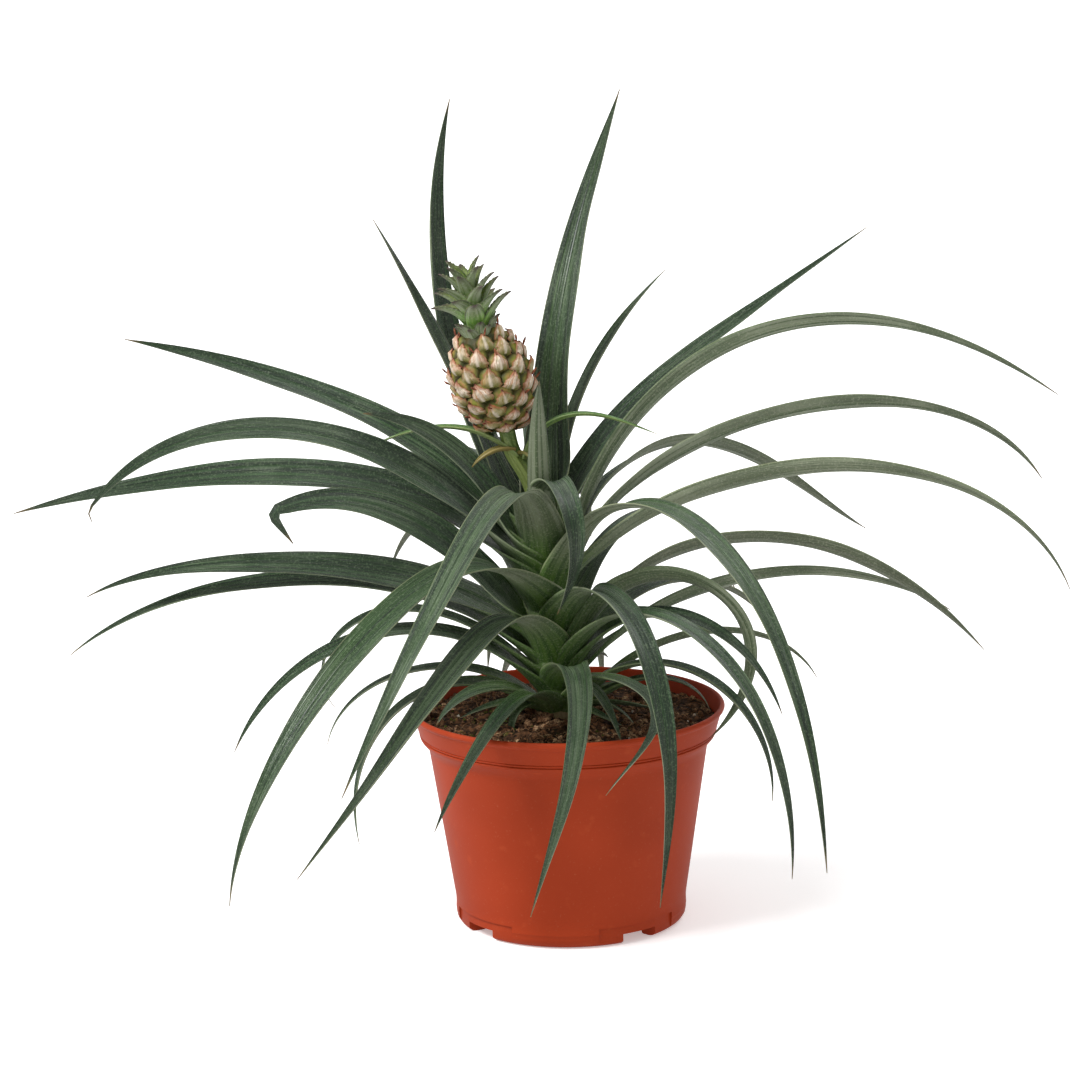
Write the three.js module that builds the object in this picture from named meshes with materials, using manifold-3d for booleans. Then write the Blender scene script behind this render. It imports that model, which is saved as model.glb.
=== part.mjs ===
import * as THREE from 'three';
import { mergeVertices } from 'three/addons/utils/BufferGeometryUtils.js';
import Module from 'manifold-3d';

// A pineapple plant in a plastic nursery pot. Millimetres, +Z up, front of the plant along -Y.
// The origin is the middle of the pot's underside, on the surface that it stands on.

const wasm = await Module();
wasm.setup();

// ---- pot ----
const POT_HEIGHT = 112;
const RIM_RADIUS = 80;
const WALL = 1.5;
const FOOT_CORNER = 5; // radius of the rounded foot
const LIP_HEIGHT = 3; // rolled bead along the top edge
const BAND_TOP_RADIUS = 78.2;
const BAND_LOW_RADIUS = 75.4; // collar below the lip, down to its grooves
const BAND_LOW_HEIGHT = 97.5;
const BODY_TOP_RADIUS = 71;
const BODY_TOP_HEIGHT = 92;
const BODY_LOW_RADIUS = 58.8;
const BODY_LOW_HEIGHT = 12;
const FOOT_RADIUS = 55;
const FOOT_INNER_RADIUS = 49;
const FOOT_STEP = 6; // how far the drained channel of the underside stands off the ground
const DISC_RADIUS = 31; // flat middle of the underside, on the ground
const FLOOR_THICKNESS = 2;
const GROOVE_DEPTH = 0.5;
const DRAIN_COUNT = 6;
const DRAIN_RADIUS = 4;
const DRAIN_RING = 40;
const NOTCH_COUNT = 4;
const FIRST_NOTCH = -54; // degrees, +X is 0 and the front is -90
const NOTCH_WIDTH = 20; // degrees
const RECESS_WIDTH = 46; // degrees
const RECESS_DEPTH = 0.9;
const RECESS_TOP = 10;
const POT_SIDES = 36;

// ---- soil ----
const SOIL_RIM_HEIGHT = 104.5;
const SOIL_RISE = 1.4; // the middle stands higher than the edge
const SOIL_LUMP = 0.8;
const GAP = 0.35; // clearance between pieces that touch

// ---- stem ----
const STEM_FOOT = new THREE.Vector3(-3, 0, 100);
const STEM_HEAD = new THREE.Vector3(-12, 0, 220);
const STEM_RADIUS = 9.5;
const STEM_SIDES = 14;
const STEM_TIP_RADIUS = 7;
const SHEATH_RADIUS = 15; // of the packed bases where the inner leaves fan out
const SHEATH_SIDES = 18;
const SHEATH_EDGES = 6; // overlapping edges round the trunk
const SHEATH_RIDGE = 1.6;
const SHEATH_RINGS = 9;
const SHEATH_TOP = 196;
const SHEATH_DETAIL = 0.35; // folds finer than this are smoothed away
const STEM_BOTTOM = 92; // it stands this deep in the soil's hole
const HEART_RADIUS = 19; // the leaf bases sheath the stem out to here
const HEART_LOW = 107.8;
const HEART_HIGH = 231;
const HEART_SIDES = 18;

// ---- fruit on its stalk ----
const STALK_RADIUS = 4;
const STALK_PATH = [[-13, 0, 216], [-18, -1, 230], [-25.1, -1.5, 242.9], [-27.9, -1.5, 254.1]];
const FRUIT_BASE = new THREE.Vector3(-28, -1.5, 254.5);
const FRUIT_LEAN = 14; // degrees to the left
const FRUIT_LENGTH = 51;
const FRUIT_RADIUS = 18.6; // under the eyes
const EYE_COUNT = 48;
const EYE_SIZE = 6.2;
const EYE_HEIGHT = 2.8;
const EYE_SIDES = 5;
const EYE_DETAIL = 0.12;
const EYE_TURN = 137.508; // degrees from one eye to the next up the fruit
const CROWN_LEAVES = 23;
const CROWN_LEAF_LENGTH = 20.5;
const CROWN_LEAF_WIDTH = 10;
const CROWN_PITCH = [50, 82]; // of the lowest and the topmost crown leaves, degrees above level
const CROWN_CURL = 34; // degrees by which a crown leaf bows out to its tip
const CROWN_CORE = [[0, 0], [6, 0], [5.5, 5], [4, 14], [0, 21]]; // radius and height of its middle
const CROWN_RISE = 19.5; // height over which its leaves spring

// ---- leaves ----
const BLADE = 0.8; // thickness
const GUTTER = 0.3; // how far the margins rise, as a part of the half width
const LEAF_ROOT = 8; // leaves spring from this far off the stem's middle
const ROLL_REACH = 0.3; // part of a leaf over which its roll comes in
const FOLD_REACH = 8; // length over which a creased tip turns
const TAPER = 3; // power by which a leaf narrows: the higher, the longer it keeps its width
const TIP_SHARE = 0.08; // the least width, as a part of the width at the root

const TERRACOTTA = { color: 0xa84a2c, roughness: 0.55, metalness: 0 };
const PEAT = { color: 0x4a2a1c, roughness: 1, metalness: 0 };
const LEAF_GREEN = { color: 0x46603f, roughness: 0.6, metalness: 0 };
const BASE_GREEN = { color: 0x6f8a3c, roughness: 0.6, metalness: 0 };
const STALK_GREEN = { color: 0x6c8f3a, roughness: 0.6, metalness: 0 };
const FRUIT_TAN = { color: 0xb98a62, roughness: 0.8, metalness: 0 };
const CROWN_GREEN = { color: 0x7d9a52, roughness: 0.7, metalness: 0 };

// Each leaf: the way it faces (degrees, +X is 0, the front is -90), the height of its root on the stem,
// its size (length and width), the bend of its midrib (pitch in degrees above level at the root, pulled
// towards two more on the way, and at the tip), its sway (how far its heading turns and its blade rolls
// over), and a creased tip or a quicker taper where it has one. Oldest leaves last.
const LEAVES = [
  { name: 'front_folded', facing: -76, root: 211, size: [115, 14], bend: [90, -15, -135, -115],
    sway: [45, 0] },
  { name: 'top_right', facing: 64, root: 201, size: [240, 26], bend: [90, 85, 40, 50],
    sway: [0, 0], taper: 1.6 },
  { name: 'top_left', facing: 137, root: 198, size: [235, 20], bend: [50, 60, 90, 110], sway: [5, 0] },
  { name: 'right_raised', facing: 22, root: 196, size: [235, 17], bend: [80, 20, 30, 30],
    sway: [0, 20], taper: 1.6 },
  { name: 'slim_right', facing: 51, root: 196, size: [165, 12], bend: [90, 65, 30, 30], sway: [-5, -20] },
  { name: 'front_upright', facing: -96, root: 195, size: [95, 13.5], bend: [80, 75, 70, 60], sway: [15, 0] },
  { name: 'slim_left', facing: 149, root: 192, size: [185, 15.5], bend: [65, 65, 60, 60], sway: [15, 0] },
  { name: 'back_1', facing: 95, root: 189, size: [190, 14], bend: [75, 40, 0, -45], sway: [0, 0] },
  { name: 'front_tall', facing: -102, root: 184, size: [295, 19], bend: [80, -35, -40, -60],
    sway: [-45, 0] },
  { name: 'left_high', facing: 160, root: 185, size: [250, 19], bend: [65, 13, 18, 10], sway: [10, -35] },
  { name: 'right_long_1', facing: -2, root: 181, size: [320, 15], bend: [75, 55, -20, -35],
    sway: [-5, -42] },
  { name: 'left_upright', facing: -165, root: 181, size: [128, 18], bend: [70, 65, 40, 5], sway: [0, -50] },
  { name: 'right_long_2', facing: 4, root: 180, size: [290, 15], bend: [65, 5, 20, -60], sway: [5, -42] },
  { name: 'left_arch', facing: -166, root: 177, size: [258, 19], bend: [57, 32, 11, -52],
    sway: [-12, -40], fold: { length: 11, pitch: -110 } },
  { name: 'right_back', facing: 44, root: 176, size: [265, 14], bend: [75, 0, -50, -30], sway: [-10, -30] },
  { name: 'right_long_3', facing: -14, root: 175, size: [295, 15], bend: [50, 5, 15, -70], sway: [-5, -42] },
  { name: 'left_long', facing: 180, root: 170, size: [285, 20], bend: [65, -5, -5, -15], sway: [0, -40] },
  { name: 'back_2', facing: 118, root: 168, size: [220, 14], bend: [70, 20, -20, -60], sway: [0, 0] },
  { name: 'right_arch', facing: -52, root: 167, size: [325, 17], bend: [80, -20, -70, -85],
    sway: [0, 0], taper: 2.2 },
  { name: 'front_sweep', facing: -123, root: 160, size: [305, 21], bend: [60, -40, -30, -85],
    sway: [-40, -10] },
  { name: 'back_3', facing: 82, root: 160, size: [200, 14], bend: [65, 20, -20, -65], sway: [0, 0] },
  { name: 'back_5', facing: 124, root: 150, size: [180, 13], bend: [65, 20, -20, -60], sway: [0, 0] },
  { name: 'front_big', facing: -64, root: 146, size: [246, 19], bend: [75, -35, -110, -100],
    sway: [10, 0], taper: 1.7 },
  { name: 'back_6', facing: 55, root: 145, size: [210, 13], bend: [65, 15, -25, -70], sway: [0, 0] },
  { name: 'left_folded', facing: -156, root: 143, size: [170, 23], bend: [60, 45, 35, -15],
    sway: [0, -45], fold: { length: 24, pitch: -124 }, taper: 3.2 },
  { name: 'left_flat', facing: -176, root: 143, size: [245, 21], bend: [50, -10, 15, -30],
    sway: [-20, -40], taper: 2 },
  { name: 'right_long_4', facing: 14, root: 142, size: [260, 14], bend: [60, 0, -30, -50], sway: [-5, -42] },
  { name: 'back_4', facing: 97, root: 140, size: [230, 15], bend: [60, 10, -30, -75], sway: [0, 0] },
  { name: 'right_hook', facing: -24, root: 134, size: [190, 13], bend: [75, 40, -85, -150],
    sway: [60, -45] },
  { name: 'back_9', facing: 136, root: 130, size: [150, 12], bend: [70, 30, -30, -70], sway: [0, 0] },
  { name: 'left_low', facing: 178, root: 133, size: [260, 15], bend: [50, -5, 0, -40], sway: [0, -25] },
  { name: 'front_low', facing: -113, root: 132, size: [250, 18.5], bend: [75, -50, -40, -50],
    sway: [-55, 0] },
  { name: 'right_low', facing: -42, root: 131, size: [238, 13], bend: [70, -25, -65, -95],
    sway: [0, 5], taper: 2.2 },
  { name: 'left_hook', facing: -164, root: 128, size: [160, 9], bend: [45, 35, 5, -135], sway: [-20, -15] },
  { name: 'right_narrow', facing: -22, root: 127, size: [150, 10], bend: [70, 15, -40, -70],
    sway: [-5, 25] },
  { name: 'back_10', facing: 38, root: 127, size: [190, 12], bend: [60, 5, -30, -70], sway: [0, 0] },
  { name: 'right_long_5', facing: 17, root: 126, size: [225, 11], bend: [45, 10, -5, -35], sway: [0, -48] },
  { name: 'front_hook', facing: -49, root: 125, size: [156, 8.5], bend: [25, -20, 5, -52],
    sway: [-115, 0], taper: 2 },
  { name: 'back_7', facing: 104, root: 124, size: [190, 12], bend: [60, 0, -35, -75], sway: [0, 0] },
  { name: 'front_strap', facing: -81, root: 122, size: [221, 16], bend: [50, -35, -30, -65],
    sway: [-53, 0], taper: 1.9 },
  { name: 'back_8', facing: 80, root: 120, size: [180, 12], bend: [55, 0, -40, -80], sway: [0, 0] },
  { name: 'left_behind', facing: -164, root: 119, size: [195, 12], bend: [55, 10, -25, -65],
    sway: [5, -25] },
  { name: 'right_rim', facing: -22, root: 113, size: [155, 11], bend: [55, 0, -50, -95], sway: [-5, 0] },
  { name: 'left_thin', facing: -174, root: 111, size: [135, 8], bend: [50, 0, -10, -80], sway: [-10, -15] },
  { name: 'back_12', facing: 70, root: 111, size: [75, 9], bend: [50, 10, -10, -30], sway: [0, 0] },
  { name: 'right_thin', facing: 7, root: 110, size: [145, 8], bend: [50, 20, 5, -65], sway: [-5, -40] },
  { name: 'back_11', facing: 108, root: 110, size: [110, 9], bend: [50, 5, -30, -60], sway: [0, 0] },
  { name: 'front_short', facing: -113, root: 109, size: [140, 12], bend: [55, -25, -35, -60],
    sway: [-30, 0] },
  { name: 'right_inner', facing: -9, root: 109, size: [80, 8], bend: [40, 25, 5, -75], sway: [0, 0] },
  { name: 'left_rim', facing: -178, root: 108, size: [160, 9], bend: [45, -10, -75, -100], sway: [0, -20] },
  { name: 'left_on_soil', facing: -144, root: 108, size: [78, 12], bend: [55, 20, -5, -60],
    sway: [-10, -15] },
  { name: 'front_small', facing: -70, root: 108, size: [85, 9], bend: [65, 25, -30, -60], sway: [10, 0] },
];

// Small leaves of the same form on the fruit's stalk, each from its own place.
const BRACTS = [
  { from: [-22, -2, 241], facing: 178, size: [84, 8], bend: [46, 12, -24, -24], sway: [0, 0] },
  { from: [-19, -4, 240], facing: -11, size: [80, 7], bend: [80, 15, -32, -18], sway: [0, 0] },
  { from: [-21, -3, 243], facing: -45, size: [26, 5], bend: [30, -60, -85, -80], sway: [0, 0] },
  { from: [-24, -3, 245], facing: -158, size: [26, 5], bend: [20, -10, -35, -50], sway: [0, 0] },
];

const rad = THREE.MathUtils.degToRad;

function seededRandom(seed) {
  let state = seed;
  return () => {
    state = (state * 1664525 + 1013904223) % 4294967296;
    return state / 4294967296;
  };
}

function meshNamed(name, geometry, finish) {
  const mesh = new THREE.Mesh(geometry, new THREE.MeshStandardMaterial(finish));
  mesh.name = name;
  return mesh;
}

// ---- solids: closed three.js meshes joined and cut by manifold ----

function toSolid(geometry) {
  const bare = geometry.clone();
  bare.deleteAttribute('normal');
  bare.deleteAttribute('uv');
  const merged = mergeVertices(bare, 1e-4);
  const vertProperties = new Float32Array(merged.attributes.position.array);
  const triVerts = new Uint32Array(merged.index.array);
  return new wasm.Manifold(new wasm.Mesh({ numProp: 3, vertProperties, triVerts }));
}

function toGeometry(solid) {
  const { vertProperties, triVerts } = solid.getMesh();
  const geometry = new THREE.BufferGeometry();
  geometry.setAttribute('position', new THREE.BufferAttribute(new Float32Array(vertProperties), 3));
  geometry.setIndex(new THREE.BufferAttribute(new Uint32Array(triVerts), 1));
  geometry.computeVertexNormals();
  return geometry;
}

// The one largest body: a loose scrap goes, and a hollow that joining sealed is filled.
function largestBody(solid) {
  const bodies = solid.decompose();
  return bodies.reduce((best, body) => (body.volume() > best.volume() ? body : best));
}

function indexed(points, faces) {
  const geometry = new THREE.BufferGeometry();
  geometry.setAttribute('position', new THREE.Float32BufferAttribute(points.flat(), 3));
  geometry.setIndex(faces.flat());
  return geometry;
}

// Rings of points joined into a closed skin. Rings run counterclockwise seen from the last one.
function skin(rings) {
  const sides = rings[0].length;
  const points = rings.flat();
  const faces = [];
  for (let r = 0; r < rings.length - 1; r += 1) {
    for (let i = 0; i < sides; i += 1) {
      const j = (i + 1) % sides;
      const a = r * sides + i;
      const b = r * sides + j;
      faces.push([a, b, b + sides], [a, b + sides, a + sides]);
    }
  }
  return { points, faces, sides, last: (rings.length - 1) * sides };
}

// A skin closed by flat ends, split the way that suits a folded leaf section of six points.
function leafSkin(rings) {
  const { points, faces, last } = skin(rings);
  const end = [[0, 1, 5], [1, 4, 5], [1, 2, 4], [2, 3, 4]];
  end.forEach(([a, b, c]) => {
    faces.push([a, c, b], [last + a, last + b, last + c]);
  });
  return indexed(points, faces);
}

function roundSkin(rings) {
  const { points, faces, sides, last } = skin(rings);
  for (let i = 1; i < sides - 1; i += 1) {
    faces.push([0, i + 1, i], [last, last + i, last + i + 1]);
  }
  return indexed(points, faces);
}

// ---- pot ----

function potProfile() {
  const outer = [];
  for (let k = 0; k <= 2; k += 1) {
    const angle = (k / 2) * (Math.PI / 2);
    outer.push([
      FOOT_RADIUS - 1.2 + FOOT_CORNER * Math.sin(angle),
      FOOT_CORNER * (1 - Math.cos(angle)),
    ]);
  }
  const lip = RIM_RADIUS;
  return [
    [0, 0],
    [DISC_RADIUS, 0],
    [DISC_RADIUS + 3, FOOT_STEP],
    [FOOT_INNER_RADIUS - 2, FOOT_STEP],
    [FOOT_INNER_RADIUS, 0],
    ...outer,
    [BODY_LOW_RADIUS, BODY_LOW_HEIGHT],
    [BODY_TOP_RADIUS, BODY_TOP_HEIGHT],
    [BAND_LOW_RADIUS - 0.8, BAND_LOW_HEIGHT - 1.5],
    [BAND_LOW_RADIUS, BAND_LOW_HEIGHT],
    [BAND_LOW_RADIUS - GROOVE_DEPTH, BAND_LOW_HEIGHT + 1],
    [BAND_LOW_RADIUS + 0.3, BAND_LOW_HEIGHT + 2],
    [BAND_TOP_RADIUS, POT_HEIGHT - LIP_HEIGHT - 0.6],
    [lip - 0.6, POT_HEIGHT - LIP_HEIGHT],
    [lip, POT_HEIGHT - LIP_HEIGHT * 0.6],
    [lip - 1.2, POT_HEIGHT],
    [lip - WALL - 1, POT_HEIGHT - 0.3],
    [BAND_LOW_RADIUS - WALL, BAND_LOW_HEIGHT],
    [BODY_TOP_RADIUS - WALL, BODY_TOP_HEIGHT],
    [BODY_LOW_RADIUS - WALL, BODY_LOW_HEIGHT],
    [FOOT_RADIUS - WALL, FOOT_STEP + FLOOR_THICKNESS],
    [0, FOOT_STEP + FLOOR_THICKNESS],
  ];
}

function lathed(profile, sides) {
  const turned = new THREE.LatheGeometry(profile.map(([x, y]) => new THREE.Vector2(x, y)), sides);
  turned.rotateX(Math.PI / 2);
  return toSolid(turned);
}

// A sector of a ring round the pot's axis, to cut with.
function ringSector(inner, outer, low, high, middle, width) {
  const steps = 4;
  const shape = new THREE.Shape();
  const at = (radius, k) => {
    const angle = rad(middle - width / 2 + (width * k) / steps);
    return [radius * Math.cos(angle), radius * Math.sin(angle)];
  };
  shape.moveTo(...at(inner, 0));
  for (let k = 0; k <= steps; k += 1) shape.lineTo(...at(outer, k));
  for (let k = steps; k > 0; k -= 1) shape.lineTo(...at(inner, k));
  const block = new THREE.ExtrudeGeometry(shape, { depth: high - low, bevelEnabled: false });
  block.translate(0, 0, low);
  return toSolid(block);
}

function buildPot() {
  let pot = lathed(potProfile(), POT_SIDES);
  for (let k = 0; k < NOTCH_COUNT; k += 1) {
    const middle = FIRST_NOTCH + (k * 360) / NOTCH_COUNT;
    const through = ringSector(FOOT_INNER_RADIUS - 4, 70, -1, FOOT_STEP - 0.5, middle, NOTCH_WIDTH);
    const recess = ringSector(BODY_LOW_RADIUS - RECESS_DEPTH, 70, -1, RECESS_TOP, middle, RECESS_WIDTH);
    pot = pot.subtract(recess).subtract(through);
  }
  for (let k = 0; k < DRAIN_COUNT; k += 1) {
    const angle = (k / DRAIN_COUNT) * Math.PI * 2;
    const drain = new THREE.CylinderGeometry(DRAIN_RADIUS, DRAIN_RADIUS, 20, 10);
    drain.rotateX(Math.PI / 2);
    drain.translate(DRAIN_RING * Math.cos(angle), DRAIN_RING * Math.sin(angle), 6);
    pot = pot.subtract(toSolid(drain));
  }
  return meshNamed('pot', toGeometry(largestBody(pot)), TERRACOTTA);
}

// ---- soil ----

function soilHeight(x, y) {
  const radius = Math.hypot(x, y);
  const dome = SOIL_RISE * (1 - (radius / 74) ** 2);
  const lumps = Math.sin(x * 0.19 + 1) * Math.cos(y * 0.23) + 0.7 * Math.sin(x * 0.11 - y * 0.31);
  return SOIL_RIM_HEIGHT + dome + SOIL_LUMP * lumps * Math.min(1, (76 - radius) / 20);
}

function buildSoil() {
  const sides = POT_SIDES;
  const inside = (radius) => radius - WALL - GAP;
  const walls = [
    [FOOT_RADIUS - WALL - 1, FOOT_STEP + FLOOR_THICKNESS + GAP],
    [inside(BODY_LOW_RADIUS), BODY_LOW_HEIGHT + GAP],
    [inside(BODY_TOP_RADIUS), BODY_TOP_HEIGHT],
    [inside(BAND_LOW_RADIUS), BAND_LOW_HEIGHT + GAP],
  ];
  const slope = (BAND_TOP_RADIUS - BAND_LOW_RADIUS) / (POT_HEIGHT - LIP_HEIGHT - BAND_LOW_HEIGHT);
  const edge = inside(BAND_LOW_RADIUS) + slope * (SOIL_RIM_HEIGHT - BAND_LOW_HEIGHT) - 0.2;
  const ring = (radius, height) => {
    const points = [];
    for (let i = 0; i < sides; i += 1) {
      const angle = (i / sides) * Math.PI * 2;
      const x = radius * Math.sin(angle);
      const y = -radius * Math.cos(angle);
      points.push([x, y, height === null ? soilHeight(x, y) : height]);
    }
    return points;
  };
  const rings = walls.map(([radius, height]) => ring(radius, height));
  [1, 0.75, 0.5, 0.28].forEach((part) => rings.push(ring(edge * part, null)));
  const hole = leaningColumn(STEM_RADIUS + GAP, STEM_BOTTOM - GAP, SHEATH_TOP, STEM_SIDES);
  const soil = toSolid(roundSkin(rings)).subtract(hole);
  return meshNamed('soil', toGeometry(largestBody(soil)), PEAT);
}

// ---- leaves ----

function stemAt(height) {
  const part = (height - STEM_FOOT.z) / (STEM_HEAD.z - STEM_FOOT.z);
  return new THREE.Vector3().lerpVectors(STEM_FOOT, STEM_HEAD, part);
}

const bezier = (t, [a, b, c, d]) =>
  (1 - t) ** 3 * a + 3 * t * (1 - t) ** 2 * b + 3 * t * t * (1 - t) * c + t ** 3 * d;

// Walks along a leaf from its root: its pitch follows the four bend angles and its heading the turn.
function leafSpine({ from, facing, root, size, bend, sway, fold }, steps) {
  const fine = 6; // the walk takes this many strides for each section of the blade
  const [length] = size;
  const [turn, roll] = sway;
  const heading = rad(facing);
  const outward = new THREE.Vector3(Math.cos(heading), Math.sin(heading), 0);
  const at = from
    ? new THREE.Vector3(...from)
    : stemAt(root).addScaledVector(outward, LEAF_ROOT);
  const spine = [];
  const whole = length + (fold ? fold.length : 0);
  const count = steps * fine;
  for (let k = 0; k <= count; k += 1) {
    const t = Math.min(1, ((k / count) * whole) / length);
    const folded = fold ? THREE.MathUtils.smoothstep((k / count) * whole, length, length + FOLD_REACH) : 0;
    const pitch = rad(bezier(t, bend) * (1 - folded) + (fold ? fold.pitch * folded : 0));
    const yaw = rad(facing + turn * t * t);
    const along = new THREE.Vector3(
      Math.cos(pitch) * Math.cos(yaw),
      Math.cos(pitch) * Math.sin(yaw),
      Math.sin(pitch),
    );
    const tilt = rad(roll) * THREE.MathUtils.smoothstep(t, 0, ROLL_REACH);
    const side = new THREE.Vector3(-Math.sin(yaw), Math.cos(yaw), 0).applyAxisAngle(along, tilt);
    const up = new THREE.Vector3().crossVectors(along, side);
    if (k % fine === 0) spine.push({ t: k / count, at: at.clone(), side, up });
    at.addScaledVector(along, whole / count);
  }
  return spine;
}

const leafWidth = (width, t, taper) => width * Math.max(1 - t ** taper, TIP_SHARE);

function leafGeometry(leaf, steps) {
  const rings = leafSpine(leaf, steps).map(({ t, at, side, up }) => {
    const half = leafWidth(leaf.size[1], t, leaf.taper || TAPER) / 2;
    const point = (across, rise) => at.clone()
      .addScaledVector(side, across)
      .addScaledVector(up, rise)
      .toArray();
    const lift = (half * GUTTER) / 2;
    return [
      point(-half, lift),
      point(-half, lift - BLADE),
      point(0, -lift - BLADE),
      point(half, lift - BLADE),
      point(half, lift),
      point(0, -lift),
    ];
  });
  return leafSkin(rings);
}

// ---- stem with the sheathing leaf bases ----

function leaningColumn(radius, low, high, sides, topRadius = radius) {
  const ring = (height, reach) => {
    const centre = stemAt(height);
    const points = [];
    for (let i = 0; i < sides; i += 1) {
      const angle = (i / sides) * Math.PI * 2;
      points.push([centre.x + reach * Math.cos(angle), centre.y + reach * Math.sin(angle), height]);
    }
    return points;
  };
  return toSolid(roundSkin([ring(low, radius), ring(high, topRadius)]));
}

// The zone round the stem that the sheathing leaf bases fill, from a height up to its top.
const heartZone = (low, spare) => leaningColumn(HEART_RADIUS + spare, low, HEART_HIGH + spare, HEART_SIDES);

// Packed leaf bases wrap the stem: their overlapping edges stand out as slanting ridges.
function sheathedTrunk() {
  const rings = [];
  for (let r = 0; r <= SHEATH_RINGS; r += 1) {
    const height = HEART_LOW + ((SHEATH_TOP - HEART_LOW) * r) / SHEATH_RINGS;
    const centre = stemAt(height);
    const points = [];
    for (let i = 0; i < SHEATH_SIDES; i += 1) {
      const wrap = (i * SHEATH_EDGES) / SHEATH_SIDES + (r % 2) * 0.5;
      const radius = HEART_RADIUS - SHEATH_RIDGE * (wrap - Math.floor(wrap));
      const angle = (i / SHEATH_SIDES) * Math.PI * 2;
      points.push([centre.x + radius * Math.cos(angle), centre.y + radius * Math.sin(angle), height]);
    }
    rings.push(points);
  }
  return toSolid(roundSkin(rings));
}

function buildStem(leafSolids, stalkSolid) {
  const zone = heartZone(SHEATH_TOP - 4, 0);
  let stem = leaningColumn(STEM_RADIUS, STEM_BOTTOM, SHEATH_TOP, STEM_SIDES)
    .add(sheathedTrunk())
    .add(leaningColumn(SHEATH_RADIUS, SHEATH_TOP - 1, STEM_HEAD.z, STEM_SIDES, STEM_TIP_RADIUS));
  [...leafSolids, stalkSolid].forEach((solid) => {
    stem = stem.add(solid.intersect(zone));
  });
  stem = stem.simplify(SHEATH_DETAIL);
  return meshNamed('stem', toGeometry(largestBody(stem)), BASE_GREEN);
}

function buildLeaf(leaf, solid) {
  const blade = largestBody(solid.subtract(heartZone(HEART_LOW - GAP, GAP)));
  return meshNamed(`leaf_${leaf.name}`, toGeometry(blade), LEAF_GREEN);
}

// ---- fruit, its stalk and its crown ----

function fruitFrame() {
  const lean = new THREE.Matrix4().makeRotationY(-rad(FRUIT_LEAN));
  return lean.setPosition(FRUIT_BASE);
}

function stalkSolid() {
  const path = new THREE.CatmullRomCurve3(STALK_PATH.map((point) => new THREE.Vector3(...point)));
  const round = new THREE.Shape();
  round.absarc(0, 0, STALK_RADIUS, 0, Math.PI * 2);
  const settings = { extrudePath: path, steps: 4, curveSegments: 4 };
  let stalk = toSolid(new THREE.ExtrudeGeometry(round, settings));
  BRACTS.forEach((bract) => {
    stalk = stalk.add(toSolid(leafGeometry(bract, bract.size[0] > 50 ? 6 : 4)));
  });
  return stalk;
}

// Radius of the fruit's flesh at a part t of the way from its base to its crown.
const fruitRadius = (t) => FRUIT_RADIUS * Math.sin(Math.PI * (0.07 + 0.83 * t)) ** 0.72;

function fruitCore() {
  const steps = 7;
  const profile = [[0, 0]];
  for (let k = 0; k <= steps; k += 1) {
    profile.push([fruitRadius(k / steps), (k / steps) * FRUIT_LENGTH]);
  }
  profile.push([0, FRUIT_LENGTH]);
  return lathed(profile, 12);
}

// One eye: a five-sided cushion whose papery bract rises to a point towards the crown.
function eyeSolid(t, angle, random) {
  const size = EYE_SIZE * (0.72 + 0.28 * Math.sin(Math.PI * t)) * (0.95 + 0.1 * random());
  const radius = fruitRadius(t);
  const slope = (fruitRadius(t + 0.02) - fruitRadius(t - 0.02)) / (0.04 * FRUIT_LENGTH);
  const out = new THREE.Vector3(Math.cos(angle), Math.sin(angle), -slope).normalize();
  const across = new THREE.Vector3(-Math.sin(angle), Math.cos(angle), 0);
  const up = new THREE.Vector3().crossVectors(out, across);
  const centre = new THREE.Vector3(radius * Math.cos(angle), radius * Math.sin(angle), t * FRUIT_LENGTH);
  const ring = (scale, height, shift) => {
    const points = [];
    for (let i = 0; i < EYE_SIDES; i += 1) {
      const turn = ((i + 0.5) / EYE_SIDES) * Math.PI * 2;
      points.push(centre.clone()
        .addScaledVector(across, size * scale * Math.cos(turn))
        .addScaledVector(up, size * scale * Math.sin(turn) + shift)
        .addScaledVector(out, height)
        .toArray());
    }
    return points;
  };
  return toSolid(roundSkin([
    ring(0.95, -2, 0),
    ring(0.8, EYE_HEIGHT * 0.75, 0.3),
    ring(0.08, EYE_HEIGHT + 1, 2.6),
  ]));
}

function buildFruit() {
  const random = seededRandom(7);
  let fruit = fruitCore();
  for (let k = 0; k < EYE_COUNT; k += 1) {
    const share = (k + 0.5) / EYE_COUNT;
    const t = 0.05 + 0.9 * (0.5 - 0.5 * Math.cos(Math.PI * (0.08 + 0.84 * share)));
    fruit = fruit.add(eyeSolid(t, rad(k * EYE_TURN), random));
  }
  const geometry = toGeometry(largestBody(fruit).simplify(EYE_DETAIL));
  geometry.applyMatrix4(fruitFrame());
  return meshNamed('fruit', geometry, FRUIT_TAN);
}

// A short stiff leaf of three sides, from a point, along a direction that curls outward.
function crownLeaf(from, heading, pitch, length, width) {
  const steps = 2;
  const rings = [];
  const at = from.clone();
  for (let k = 0; k <= steps; k += 1) {
    const t = k / steps;
    const tilt = rad(pitch - CROWN_CURL * t);
    const along = new THREE.Vector3(
      Math.cos(tilt) * Math.cos(heading),
      Math.cos(tilt) * Math.sin(heading),
      Math.sin(tilt),
    );
    const side = new THREE.Vector3(-Math.sin(heading), Math.cos(heading), 0);
    const up = new THREE.Vector3().crossVectors(along, side);
    const half = (width / 2) * (1 - 0.88 * t ** 1.5);
    rings.push([
      at.clone().addScaledVector(side, half).addScaledVector(up, half * 0.3).toArray(),
      at.clone().addScaledVector(side, -half).addScaledVector(up, half * 0.3).toArray(),
      at.clone().addScaledVector(up, -0.5 - half * 0.25).toArray(),
    ]);
    at.addScaledVector(along, length / steps);
  }
  return toSolid(roundSkin(rings));
}

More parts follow.
